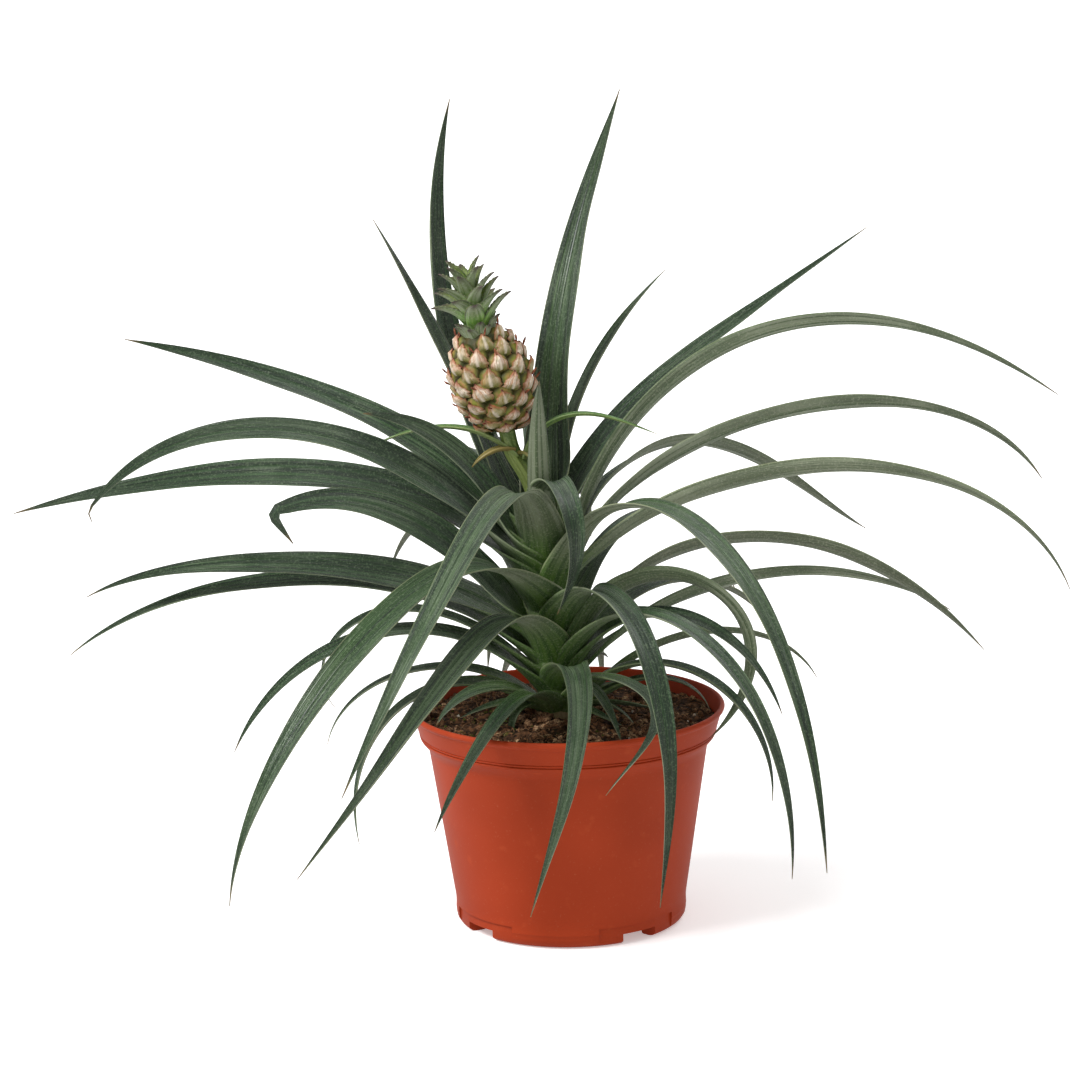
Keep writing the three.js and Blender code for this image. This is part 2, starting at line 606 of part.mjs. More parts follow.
function buildCrown() {
  const random = seededRandom(21);
  let crown = lathed(CROWN_CORE, 14);
  for (let k = 0; k < CROWN_LEAVES; k += 1) {
    const t = k / (CROWN_LEAVES - 1);
    const heading = rad(k * EYE_TURN);
    const start = 4 - 3 * t;
    const from = new THREE.Vector3(start * Math.cos(heading), start * Math.sin(heading), 1 + CROWN_RISE * t);
    const pitch = THREE.MathUtils.lerp(...CROWN_PITCH, t ** 1.5) + 6 * (random() - 0.5);
    const length = CROWN_LEAF_LENGTH * (1 - 0.15 * t);
    crown = crown.add(crownLeaf(from, heading, pitch, length, CROWN_LEAF_WIDTH * (1 - 0.35 * t)));
  }
  const geometry = toGeometry(largestBody(crown));
  geometry.translate(0, 0, FRUIT_LENGTH + GAP);
  geometry.applyMatrix4(fruitFrame());
  return meshNamed('crown', geometry, CROWN_GREEN);
}

// ---- assembly ----

const group = new THREE.Group();
group.name = 'pineapple_plant';
const bladeSolids = LEAVES.map((leaf) => toSolid(leafGeometry(leaf, leaf.size[0] > 150 ? 11 : 8)));
const baseSolids = LEAVES.map((leaf) => toSolid(leafGeometry(leaf, Math.ceil(leaf.size[0] / 22))));
const stalk = stalkSolid();
group.add(buildPot());
group.add(buildSoil());
group.add(buildStem(baseSolids, stalk));
LEAVES.forEach((leaf, k) => group.add(buildLeaf(leaf, bladeSolids[k])));
const bareStalk = largestBody(stalk.subtract(heartZone(HEART_LOW, GAP)));
group.add(meshNamed('fruit_stalk', toGeometry(bareStalk), STALK_GREEN));
group.add(buildFruit());
group.add(buildCrown());

export default group;
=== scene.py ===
import math

import bmesh
import bpy
import numpy as np
from mathutils import Matrix, Vector, noise


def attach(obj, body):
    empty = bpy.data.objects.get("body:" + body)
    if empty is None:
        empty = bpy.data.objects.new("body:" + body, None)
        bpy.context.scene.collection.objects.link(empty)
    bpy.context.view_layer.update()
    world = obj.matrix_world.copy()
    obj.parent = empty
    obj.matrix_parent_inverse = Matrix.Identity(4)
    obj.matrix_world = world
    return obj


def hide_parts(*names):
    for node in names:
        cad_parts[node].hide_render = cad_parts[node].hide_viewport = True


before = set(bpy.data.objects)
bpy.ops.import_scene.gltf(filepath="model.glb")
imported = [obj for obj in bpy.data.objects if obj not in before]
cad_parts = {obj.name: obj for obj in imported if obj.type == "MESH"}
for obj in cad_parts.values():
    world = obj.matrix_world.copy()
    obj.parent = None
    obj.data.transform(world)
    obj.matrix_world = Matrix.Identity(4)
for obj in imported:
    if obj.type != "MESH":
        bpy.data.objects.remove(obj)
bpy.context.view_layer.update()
mm = 0.001


def smooth(value, low, high):
    part = np.clip((value - low) / (high - low), 0.0, 1.0)
    return part * part * (3 - 2 * part)


def linear(channel):  # from a paint programme's 0 to 255
    share = channel / 255
    return share / 12.92 if share <= 0.04045 else ((share + 0.055) / 1.055) ** 2.4


def inLinear(look):  # a look whose colours are changed from a paint programme's to linear ones
    return {name: (*map(linear, value), 1.0) if isinstance(value, tuple) else value
            for name, value in look.items()}


class Heap:
    # gathers points, faces and point values until a piece is made of them
    def __init__(self):
        self.points = []
        self.faces = []
        self.slots = []
        self.fields = {}
        self.count = 0

    def add(self, points, faces, slot=0, **fields):
        points = np.asarray(points, float).reshape(-1, 3)
        self.points.append(points)
        self.faces.extend([tuple(i + self.count for i in face) for face in faces])
        self.slots.extend([slot] * len(faces))
        for name in sorted(set(self.fields) | set(fields)):
            held = self.fields.setdefault(name, [])
            filled = sum(len(part) for part in held)
            if filled < self.count:
                held.append(np.zeros(self.count - filled))
            if name in fields:
                held.append(np.broadcast_to(np.asarray(fields[name], float), (len(points),)))
        self.count += len(points)

    def piece(self, name, materials, sharp=None):
        mesh = bpy.data.meshes.new(name)
        mesh.from_pydata(np.concatenate(self.points).tolist(), [], self.faces)
        for field, parts in self.fields.items():
            values = np.concatenate(parts)
            values = np.concatenate([values, np.zeros(self.count - len(values))])
            layer = mesh.attributes.new(field, "FLOAT", "POINT")
            layer.data.foreach_set("value", values.astype(np.float32))
        for material in materials:
            mesh.materials.append(material)
        mesh.polygons.foreach_set("material_index", np.array(self.slots, np.int32))
        mesh.polygons.foreach_set("use_smooth", np.ones(len(self.faces), bool))
        if sharp:
            mesh.set_sharp_from_angle(angle=math.radians(sharp))
        mesh.update()
        made = bpy.data.objects.new(name, mesh)
        bpy.context.scene.collection.objects.link(made)
        return made


def keep(piece, slot, *nodes):  # the piece belongs to the plant, and stands for these solids
    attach(piece, "root")
    if nodes:
        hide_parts(*nodes)


def circle(sides):
    return np.arange(sides) / sides * 2 * math.pi


def polar(radius, angle):
    return radius * math.cos(angle), radius * math.sin(angle)


def ringFaces(rings, around):  # a closed skin over rings of points, both ends shut
    faces = []
    for r in range(rings - 1):
        for i in range(around):
            a = r * around + i
            b = r * around + (i + 1) % around
            faces.append((a, b, b + around, a + around))
    faces.append(tuple(range(around - 1, -1, -1)))
    faces.append(tuple((rings - 1) * around + i for i in range(around)))
    return faces


def tube(path, radii, sides=8, ribs=0, ribDepth=0.0):
    path = np.asarray(path, float)
    tangents = np.gradient(path, axis=0)
    tangents /= np.linalg.norm(tangents, axis=1)[:, None]
    guide = np.array([0.31, 0.94, 0.12])
    across = np.cross(tangents, guide)
    across /= np.linalg.norm(across, axis=1)[:, None]
    over = np.cross(tangents, across)
    angles = circle(sides)
    swell = 1 + ribDepth * np.cos(angles * ribs)
    reach = np.asarray(radii, float)[:, None] * swell[None, :]
    points = (path[:, None, :]
              + across[:, None, :] * (reach * np.cos(angles))[:, :, None]
              + over[:, None, :] * (reach * np.sin(angles))[:, :, None])
    return points.reshape(-1, 3), ringFaces(len(path), sides)


def put(tree, kind, sockets=None, **settings):
    made = tree.nodes.new(kind)
    for name, value in settings.items():
        setattr(made, name, value)
    for name, value in (sockets or {}).items():
        if isinstance(value, bpy.types.NodeSocket):
            tree.links.new(value, made.inputs[name])
        else:
            made.inputs[name].default_value = value
    return made


def mixed(tree, amount, first, second):
    return put(tree, "ShaderNodeMix", {0: amount, 6: first, 7: second}, data_type="RGBA").outputs[2]


def painted(tree, whole, *coats):  # each coat is how much of it shows, and its colour
    for amount, coat in coats:
        whole = mixed(tree, amount, whole, coat)
    return whole


def ramped(tree, value, low, high, start=0.0, end=1.0):
    made = put(tree, "ShaderNodeMapRange", {
        "Value": value, "From Min": low, "From Max": high, "To Min": start, "To Max": end,
    }, interpolation_type="SMOOTHSTEP")
    return made.outputs["Result"]


def reckon(tree, operation, first, second=0.0):
    return put(tree, "ShaderNodeMath", {0: first, 1: second}, operation=operation).outputs[0]


def times(tree, first, second):
    return reckon(tree, "MULTIPLY", first, second)


def fieldsOf(tree, *names):
    return [put(tree, "ShaderNodeAttribute", attribute_name=name).outputs["Fac"] for name in names]


def newGroup(name, inputs, outputs):
    group = bpy.data.node_groups.new(name, "ShaderNodeTree")
    for label, value in inputs.items():
        socket = group.interface.new_socket(label, in_out="INPUT", socket_type="NodeSocketFloat")
        socket.default_value = value
    for label in outputs:
        group.interface.new_socket(label, in_out="OUTPUT", socket_type="NodeSocketFloat")
    return group, group.nodes.new("NodeGroupInput").outputs, group.nodes.new("NodeGroupOutput")


def placed(tree, group, **values):
    return put(tree, "ShaderNodeGroup", values, node_tree=group).outputs


def makeStreaks():  # fine lines that run the length of a blade and draw together at its tip
    group, given, result = newGroup(
        "lengthwise streaks",
        {"Span": 0.0, "Run": 0.0, "Tone": 0.0, "Lines": 14.0, "Stretch": 12.0},
        ["Fine", "Mid", "Broad"],
    )
    apart = times(group, given["Tone"], 37.0)
    kinds = (("Fine", 1.0, 3.0, 0.36, 0.64), ("Mid", 0.4, 2.0, 0.42, 0.6), ("Broad", 0.15, 2.0, 0.4, 0.6))
    for label, share, detail, low, high in kinds:
        across = times(group, times(group, given["Span"], given["Lines"]), share)
        down = times(group, times(group, given["Run"], given["Stretch"]), 0.5 + share)
        spot = put(group, "ShaderNodeCombineXYZ", {0: across, 1: down, 2: apart}).outputs[0]
        grain = put(group, "ShaderNodeTexNoise", {"Vector": spot, "Scale": 1.0, "Detail": detail})
        group.links.new(ramped(group, grain.outputs[0], low, high), result.inputs[label])
    return group


def makeMottle():  # cloudy patches fixed to the surface
    group, given, result = newGroup(
        "soft mottle", {"Scale": 60.0, "Detail": 3.0, "Low": 0.35, "High": 0.65}, ["Mask"])
    place = put(group, "ShaderNodeTexCoord").outputs["Object"]
    grain = put(group, "ShaderNodeTexNoise", {
        "Vector": place, "Scale": given["Scale"], "Detail": given["Detail"]})
    group.links.new(ramped(group, grain.outputs[0], given["Low"], given["High"]), result.inputs["Mask"])
    return group


streaksGroup = makeStreaks()
mottleGroup = makeMottle()


def mottled(tree, scale, detail, low, high):
    return placed(tree, mottleGroup, Scale=scale, Detail=detail, Low=low, High=high)["Mask"]


def newMaterial(name, **fixed):  # fixed values stand on the shader's own sockets
    made = bpy.data.materials.new(name)
    made.use_nodes = True
    tree = made.node_tree
    shader = tree.nodes["Principled BSDF"]
    for label, value in fixed.items():
        shader.inputs[label.replace("_", " ")].default_value = value
    return made, tree, shader


def finished(material, whole, height, relief):  # its colour, and how far its grain stands out in metres
    made, tree, shader = material
    tree.links.new(whole, shader.inputs["Base Color"])
    bump = put(tree, "ShaderNodeBump", {"Height": height, "Distance": relief, "Strength": 1.0})
    tree.links.new(bump.outputs["Normal"], shader.inputs["Normal"])
    return made


bladeLook = {
    "upperDark": (21, 43, 22), "upperMid": (50, 84, 42), "upperPale": (130, 149, 116),
    "upperOlive": (66, 92, 40), "underDark": (72, 90, 54), "underMid": (106, 124, 84),
    "underPale": (164, 172, 144), "underWarm": (102, 106, 82), "fresh": (54, 90, 14),
    "freshPale": (92, 126, 40), "margin": (158, 166, 120), "dry": (140, 116, 74),
    "lines": 34.0, "stretch": 6.5, "relief": 0.00024, "roughUpper": 0.27, "roughUnder": 0.48,
    "bloomLow": 0.05, "bloomHigh": 0.5, "scurf": 0.65, "flecks": 1000.0, "sheen": 0.05,
    "gloss": 0.62, "clouds": 24.0, "fleckUpper": 0.35, "fleckUnder": 0.4, "age": 0.5,
}


def makeLeafMaterial(name, look):
    material = newMaterial(name, Specular_IOR_Level=look["gloss"], Sheen_Weight=look["sheen"],
                           Sheen_Roughness=0.5)
    tree, shader = material[1:]
    span, run, tone, face, tip, fresh = fieldsOf(tree, "span", "run", "tone", "face", "tip", "fresh")
    lines = placed(tree, streaksGroup, Span=span, Run=run, Tone=tone,
                   Lines=look["lines"], Stretch=look["stretch"])
    patches = mottled(tree, look["clouds"], 2.0, 0.35, 0.65)
    flecks = mottled(tree, look["flecks"], 2.0, 0.52, 0.66)
    older = times(tree, ramped(tree, tone, 0.3, 1.0), look["age"])
    bloom = times(tree, lines["Mid"], ramped(tree, patches, 0.2, 1.0, look["bloomLow"], look["bloomHigh"]))
    scurf = times(tree, lines["Broad"], ramped(tree, patches, 0.0, 1.0, 0.15, look["scurf"]))
    upper = painted(
        tree, mixed(tree, lines["Broad"], look["upperDark"], look["upperMid"]),
        (times(tree, older, lines["Broad"]), look["upperOlive"]),
        (bloom, look["upperPale"]),
        (ramped(tree, lines["Fine"], 0.0, 1.0, 0.55, 0.0), look["upperDark"]),
        (times(tree, flecks, look["fleckUpper"]), look["upperPale"]),
    )
    under = painted(
        tree, mixed(tree, lines["Mid"], look["underDark"], look["underMid"]),
        (ramped(tree, lines["Fine"], 0.0, 1.0, 0.5, 0.0), look["underDark"]),
        (scurf, look["underPale"]),
        (older, look["underWarm"]),
        (times(tree, flecks, look["fleckUnder"]), look["underPale"]),
    )
    young = painted(
        tree, mixed(tree, times(tree, lines["Broad"], 0.7), look["fresh"], look["freshPale"]),
        (times(tree, flecks, look["fleckUpper"]), look["underPale"]),
    )
    side = ramped(tree, face, 0.35, 0.65)
    rim = ramped(tree, reckon(tree, "ABSOLUTE", span), 0.94, 0.99)
    whole = painted(
        tree, mixed(tree, side, under, upper),
        (fresh, young),
        (times(tree, rim, ramped(tree, tone, 0.2, 0.9, 0.12, 0.6)), look["margin"]),
        (ramped(tree, tip, 0.955, 0.995), look["dry"]),
    )
    rough = ramped(tree, side, 0.0, 1.0, look["roughUnder"], look["roughUpper"])
    rough = reckon(tree, "ADD", rough, times(tree, lines["Fine"], 0.12))
    tree.links.new(rough, shader.inputs["Roughness"])
    return finished(material, whole, reckon(tree, "ADD", lines["Fine"], lines["Broad"]), look["relief"])


potLook = {
    "body": (165, 59, 28), "pale": (182, 78, 44), "deep": (148, 51, 22),
    "dust": (190, 120, 92), "rough": 0.5, "scuffed": 0.64,
    "relief": 0.00003,
}


def makePotMaterial(look):
    material = newMaterial("pot plastic", Specular_IOR_Level=0.1)
    tree, shader = material[1:]
    clouds = mottled(tree, 14.0, 2.0, 0.25, 0.75)
    specks = mottled(tree, 900.0, 2.0, 0.62, 0.8)
    scuffs = mottled(tree, 130.0, 6.0, 0.58, 0.85)
    grain = mottled(tree, 1600.0, 2.0, 0.0, 1.0)
    whole = painted(
        tree, mixed(tree, clouds, look["deep"], look["body"]),
        (times(tree, scuffs, 0.5), look["pale"]),
        (times(tree, specks, 0.16), look["dust"]),
    )
    tree.links.new(ramped(tree, scuffs, 0.0, 1.0, look["rough"], look["scuffed"]),
                   shader.inputs["Roughness"])
    return finished(material, whole, grain, look["relief"])


soilLook = {
    "dark": (32, 22, 15), "brown": (98, 67, 45), "red": (146, 102, 68),
    "tan": (206, 170, 132), "moss": (92, 108, 38), "grit": (214, 208, 196),
    "straw": (160, 112, 70), "root": (64, 38, 24), "relief": 0.0005,
}


def makeCrumbMaterial(name, look, dark, mid, pale, mossy=0.0, scale=420.0):
    material = newMaterial(name, Specular_IOR_Level=0.15, Roughness=0.95)
    tree = material[1]
    shade = fieldsOf(tree, "tone")[0]
    fibre = mottled(tree, scale, 6.0, 0.36, 0.64)
    clumps = mottled(tree, 110.0, 3.0, 0.35, 0.7)
    whole = painted(
        tree, mixed(tree, fibre, look[dark], look[mid]),
        # on the ground the tone field is its height, so this coat is painted light on the crests; on crumbs,
        # fibres and grit the tone is random
        (times(tree, ramped(tree, shade, 0.3, 1.0), fibre), look[pale]),
        (ramped(tree, clumps, 0.0, 1.0, 0.4, 0.0), look["dark"]),
        # on the ground this coat is painted shade in the low gaps; on crumbs, fibres and grit it darkens them
        # at random
        (ramped(tree, shade, 0.0, 0.4, 0.75, 0.0), look["dark"]),
    )
    if mossy:
        green = times(tree, mottled(tree, 55.0, 3.0, 0.6, 0.72), mossy)
        whole = mixed(tree, green, whole, look["moss"])
    return finished(material, whole, fibre, look["relief"])


fruitLook = {
    "groove": (52, 56, 16), "flesh": (126, 128, 46), "blush": (168, 112, 76),
    "paper": (196, 152, 116), "paperPale": (240, 226, 208), "paperEdge": (150, 94, 60),
    "paperRoot": (112, 112, 48), "tip": (170, 98, 64), "tipDark": (88, 46, 34),
    "stub": (96, 50, 38), "stubPale": (150, 92, 64),
    "relief": 0.0002, "paperRelief": 0.0003,
}


def makeEyeMaterial(look):
    material = newMaterial("fruit flesh", Specular_IOR_Level=0.35, Roughness=0.55)
    tree = material[1]
    rise, tone = fieldsOf(tree, "rise", "tone")
    patches = mottled(tree, 330.0, 4.0, 0.35, 0.65)
    whole = painted(
        tree, mixed(tree, ramped(tree, rise, 0.1, 0.75), look["groove"], look["flesh"]),
        (times(tree, patches, ramped(tree, rise, 0.3, 1.0, 0.1, 0.9)), look["blush"]),
        (times(tree, tone, 0.25), look["groove"]),
    )
    return finished(material, whole, patches, look["relief"])


def makeBractMaterial(look):
    material = newMaterial("papery bract", Specular_IOR_Level=0.3, Roughness=0.66)
    tree = material[1]
    span, run, tone, tip = fieldsOf(tree, "span", "run", "tone", "tip")
    lines = placed(tree, streaksGroup, Span=span, Run=run, Tone=tone, Lines=9.0, Stretch=90.0)
    stain = mottled(tree, 420.0, 4.0, 0.45, 0.62)
    aside = reckon(tree, "ABSOLUTE", span)
    whole = painted(
        tree, mixed(tree, lines["Fine"], look["paper"], look["paperPale"]),
        (times(tree, lines["Mid"], 0.5), look["paperPale"]),
        (times(tree, lines["Broad"], 0.45), look["blush"]),
        (ramped(tree, tone, 0.55, 1.0, 0.0, 0.6), look["flesh"]),
        (times(tree, stain, 0.45), look["paperRoot"]),
        (ramped(tree, tip, 0.05, 0.42, 0.95, 0.0), look["paperRoot"]),
        (ramped(tree, aside, 0.0, 0.3, 0.65, 0.0), look["paperPale"]),
        (ramped(tree, aside, 0.62, 1.0, 0.0, 0.75), look["paperEdge"]),
        (ramped(tree, tip, 0.55, 0.85, 0.0, 0.7), look["tip"]),
        (ramped(tree, tip, 0.84, 1.0), look["tipDark"]),
    )
    return finished(material, whole, lines["Mid"], look["paperRelief"])


def makeStubMaterial(look):
    material = newMaterial("dried flower", Specular_IOR_Level=0.2, Roughness=0.8)
    tree = material[1]
    patches = mottled(tree, 700.0, 3.0, 0.35, 0.65)
    return finished(material, mixed(tree, patches, look["stub"], look["stubPale"]), patches, look["relief"])


crownLook = dict(
    bladeLook,
    upperDark=(84, 104, 34), upperMid=(128, 152, 60), upperPale=(172, 188, 120),
    upperOlive=(108, 118, 44), underDark=(104, 124, 74), underMid=(142, 158, 112),
    underPale=(180, 190, 160), underWarm=(120, 118, 92), fresh=(96, 156, 16),
    freshPale=(150, 200, 56), margin=(140, 118, 84), dry=(82, 60, 50),
    lines=16.0, stretch=40.0, roughUpper=0.5, roughUnder=0.55, sheen=0.1,
)
bractLook = dict(
    bladeLook,
    upperDark=(54, 92, 26), upperMid=(88, 134, 44), upperPale=(130, 162, 84),
    underDark=(74, 104, 38), underMid=(108, 140, 54), underPale=(152, 170, 100),
    underWarm=(112, 128, 60), upperOlive=(104, 128, 50), fresh=(98, 118, 34),
    freshPale=(146, 154, 70), dry=(150, 118, 52), lines=10.0, stretch=30.0,
)

bladeLook, crownLook, bractLook, potLook, soilLook, fruitLook = map(
    inLinear, (bladeLook, crownLook, bractLook, potLook, soilLook, fruitLook))
leafMaterial = makeLeafMaterial("leaf blade", bladeLook)
crownMaterial = makeLeafMaterial("crown leaf", crownLook)
bractMaterial = makeLeafMaterial("stalk leaf", bractLook)
potMaterial = makePotMaterial(potLook)
soilMaterial = makeCrumbMaterial("peat", soilLook, "dark", "brown", "red", mossy=0.5)
crumbMaterial = makeCrumbMaterial("peat crumb", soilLook, "brown", "red", "tan", scale=900.0)
fibreMaterial = makeCrumbMaterial("coir fibre", soilLook, "root", "straw", "tan", scale=600.0)
mossMaterial = makeCrumbMaterial("moss", soilLook, "brown", "moss", "moss", scale=800.0)
gritMaterial = makeCrumbMaterial("pale grit", soilLook, "tan", "grit", "grit", scale=500.0)
eyeMaterial = makeEyeMaterial(fruitLook)
paperMaterial = makeBractMaterial(fruitLook)
stubMaterial = makeStubMaterial(fruitLook)
print("materials made")


# The pot, in millimetres as all sizes here
pot = {
    "height": 112, "rim": 80, "wall": 1.5, "lip": 3, "bandTop": 78.2, "bandLow": 75.4,
    "bandLowHeight": 97.5, "bodyTop": 71, "bodyTopHeight": 92, "bodyLow": 58.8, "bodyLowHeight": 12,
    "foot": 55, "footCorner": 5, "footInner": 49, "step": 6, "disc": 31, "floor": 2, "groove": 0.8,
    "drains": 6, "drainRadius": 4, "drainRing": 40, "notches": 4, "firstNotch": -54, "notchWidth": 20,
    "recessWidth": 46, "recessDepth": 0.9, "recessTop": 10, "sides": 240,
    "bow": 4, "cutSteps": 24, "drillFrom": -3, "drillTo": 16, "sharp": 38,
}


def roundedProfile(corners):  # corners are (radius, height, how far the rounding reaches)
    outline = []
    for k, (radius, height, reach) in enumerate(corners):
        here = np.array([radius, height], float)
        if reach == 0 or k in (0, len(corners) - 1):
            outline.append(here)
            continue
        before = np.array(corners[k - 1][:2], float) - here
        after = np.array(corners[k + 1][:2], float) - here
        first = here + before * min(0.45, reach / np.linalg.norm(before))
        last = here + after * min(0.45, reach / np.linalg.norm(after))
        for t in np.linspace(0, 1, pot["bow"]):
            outline.append((1 - t) ** 2 * first + 2 * t * (1 - t) * here + t * t * last)
    return np.array(outline)


def lathe(outline, sides):  # the outline starts and ends on the axis
    inner = outline[1:-1]
    angles = circle(sides)
    rings = np.stack([
        inner[:, 0][:, None] * np.cos(angles),
        inner[:, 0][:, None] * np.sin(angles),
        np.repeat(inner[:, 1][:, None], sides, 1),
    ], 2).reshape(-1, 3)
    points = np.concatenate([rings, [[0, 0, outline[0, 1]], [0, 0, outline[-1, 1]]]])
    count = len(inner)
    faces = ringFaces(count, sides)[:-2]
    for i in range(sides):
        j = (i + 1) % sides
        faces.append((count * sides, j, i))
        faces.append(((count - 1) * sides + i, (count - 1) * sides + j, count * sides + 1))
    return points, faces


def cutter(inner, outer, low, high, middle, width):  # a block bent round the pot's axis
    angles = np.radians(middle - width / 2 + width * np.arange(pot["cutSteps"] + 1) / pot["cutSteps"])
    ring = [polar(outer, a) for a in angles] + [polar(inner, a) for a in angles[::-1]]
    points = [(x, y, z) for z in (low, high) for x, y in ring]
    return np.array(points), ringFaces(2, len(ring))


def buildPot():
    p = pot
    foot = p["foot"] - 1.2
    corners = [
        (0, 0, 0), (p["disc"], 0, 1), (p["disc"] + 3, p["step"], 1), (p["footInner"] - 2, p["step"], 1),
        (p["footInner"], 0, 0.6), (foot, 0, 0),
    ]
    for angle in np.radians([22.5, 45, 67.5]):
        corners.append((foot + p["footCorner"] * math.sin(angle), p["footCorner"] * (1 - math.cos(angle)), 0))
    seam = p["footCorner"] + 2
    slope = (p["bodyLow"] - foot - p["footCorner"]) / (p["bodyLowHeight"] - p["footCorner"])
    seamRadius = foot + p["footCorner"] + slope * 2
    top, band = p["height"], p["bandLowHeight"]
    corners += [
        (foot + p["footCorner"], p["footCorner"], 0), (seamRadius - 0.02, seam - 0.4, 0),
        (seamRadius + 0.2, seam, 0.2), (seamRadius + 0.1, seam + 0.4, 0),
        (p["bodyLow"], p["bodyLowHeight"], 3),
        (p["bodyTop"], p["bodyTopHeight"], 2.2), (p["bandLow"] - 0.8, band - 1.5, 1.2),
        (p["bandLow"], band, 0.3), (p["bandLow"] - p["groove"], band + 0.5, 0.15),
        (p["bandLow"] + 0.2, band + 1.1, 0.25), (p["bandLow"] + 0.3, band + 1.6, 0.2),
        (p["bandLow"] - 0.2, band + 1.9, 0.15), (p["bandLow"] + 0.4, band + 2.3, 0.25),
        (p["bandTop"], top - p["lip"] - 0.6, 0.8),
        (p["rim"] - 0.5, top - p["lip"] + 0.1, 0.6), (p["rim"], top - 1.5, 1.1), (p["rim"] - 1.0, top, 0.9),
        (p["rim"] - p["wall"] - 1, top - 0.3, 0.8), (p["bandLow"] - p["wall"], p["bandLowHeight"], 3),
        (p["bodyTop"] - p["wall"], p["bodyTopHeight"], 2), (p["bodyLow"] - p["wall"], p["bodyLowHeight"], 2),
        (p["foot"] - p["wall"], p["step"] + p["floor"], 2), (0, p["step"] + p["floor"], 0),
    ]
    heap = Heap()
    points, faces = lathe(roundedProfile(corners), p["sides"])
    heap.add(points * mm, faces)
    piece = heap.piece("pot_moulded", [potMaterial])
    cuts = Heap()
    for k in range(p["notches"]):
        middle = p["firstNotch"] + k * 360 / p["notches"]
        for block in (
            cutter(p["footInner"] - 4, 70, -1, p["step"] - 0.5, middle, p["notchWidth"]),
            cutter(p["bodyLow"] - p["recessDepth"], 71, -1.5, p["recessTop"], middle, p["recessWidth"]),
        ):
            cuts.add(block[0] * mm, block[1])
    for angle in circle(p["drains"]):
        x, y = polar(p["drainRing"], angle)
        drill = tube([(x, y, p["drillFrom"]), (x, y, p["drillTo"])], [p["drainRadius"]] * 2, 32)
        cuts.add(drill[0] * mm, drill[1])
    knife = cuts.piece("cuts", [])
    cut = piece.modifiers.new("cuts", "BOOLEAN")
    cut.operation = "DIFFERENCE"
    cut.object = knife
    cut.solver = "EXACT"
    cut.use_self = True
    bpy.context.view_layer.update()
    done = bpy.data.meshes.new_from_object(piece.evaluated_get(bpy.context.evaluated_depsgraph_get()))
    piece.modifiers.clear()
    piece.data = done
    done.polygons.foreach_set("use_smooth", np.ones(len(done.polygons), bool))
    done.set_sharp_from_angle(angle=math.radians(p["sharp"]))
    bpy.data.objects.remove(knife)
    keep(piece, "pot", "pot")
    print("pot made,", len(done.polygons), "faces")


buildPot()


soil = {
    "rimHeight": 104.5, "rise": 1.4, "lump": 0.8, "gap": 0.35, "rings": 90, "around": 260,
    "rough": 1.9, "crumbs": 1400, "lumps": 90, "stemAt": -3, "fibres": 620, "grits": 40, "mossTufts": 130,
}


def soilHeight(x, y):
    radius = np.hypot(x, y)
    dome = soil["rise"] * (1 - (radius / 74) ** 2)
    lumps = np.sin(x * 0.19 + 1) * np.cos(y * 0.23) + 0.7 * np.sin(x * 0.11 - y * 0.31)
    return soil["rimHeight"] + dome + soil["lump"] * lumps * np.minimum(1, (76 - radius) / 20)


def soilEdge():
    slope = (pot["bandTop"] - pot["bandLow"]) / (pot["height"] - pot["lip"] - pot["bandLowHeight"])
    inside = pot["bandLow"] - pot["wall"] - soil["gap"]
    return inside + slope * (soil["rimHeight"] - pot["bandLowHeight"]) - 0.2


def roughness(x, y):  # how far the broken surface stands off its smooth form
    clod = 1 - 1.5 * noise.voronoi(Vector((x * 0.12, y * 0.12, 4.2)))[0][0]
    crumb = 1 - 1.5 * noise.voronoi(Vector((x * 0.33, y * 0.33, 1.7)))[0][0]
    worn = noise.fractal(Vector((x * 0.22, y * 0.22, 3.1)), 0.9, 2.1, 4)
    return soil["rough"] * (0.8 * clod + 0.35 * crumb + 0.45 * worn - 0.45)


def soilHeap(x, y):  # loose soil lies higher at the back on the left, and round the stem
    back = np.exp(-((x + 36) ** 2 + (y - 30) ** 2) / 750)
    return 4.2 * back + 1.6 * np.exp(-((x + 3) ** 2 + y ** 2) / 500)


def soilTop(x, y):
    return float(soilHeight(np.float64(x), np.float64(y))) + roughness(x, y) + float(soilHeap(x, y))


def blob(random, size, squash):  # a broken lump of a few dozen faces
    axis = Vector(random.normal(size=3)).normalized()
    turn = Matrix.Rotation(random.uniform(0, 6.28), 3, axis)
    shift = Vector(random.uniform(-50, 50, 3))
    points = []
    for corner in ballPoints:
        knob = 1 + 0.55 * noise.noise(corner * 1.6 + shift)
        points.append(turn @ Vector((corner.x, corner.y * squash[0], corner.z * squash[1])) * (size * knob))
    return np.array(points)


def makeBall():
    ball = bmesh.new()
    bmesh.ops.create_icosphere(ball, subdivisions=2, radius=1)
    points = [v.co.copy() for v in ball.verts]
    faces = [tuple(v.index for v in f.verts) for f in ball.faces]
    ball.free()
    return points, faces


ballPoints, ballFaces = makeBall()


def spotOnSoil(random, outer, inner=9):
    radius = math.sqrt(random.uniform(inner ** 2, outer ** 2))
    return polar(radius, random.uniform(0, 2 * math.pi))


def lumpAt(random, x, y, size, squash, raised):  # raised is the share of its size that it stands proud
    return (blob(random, size, squash) + (x, y, soilTop(x, y) + size * raised)) * mm


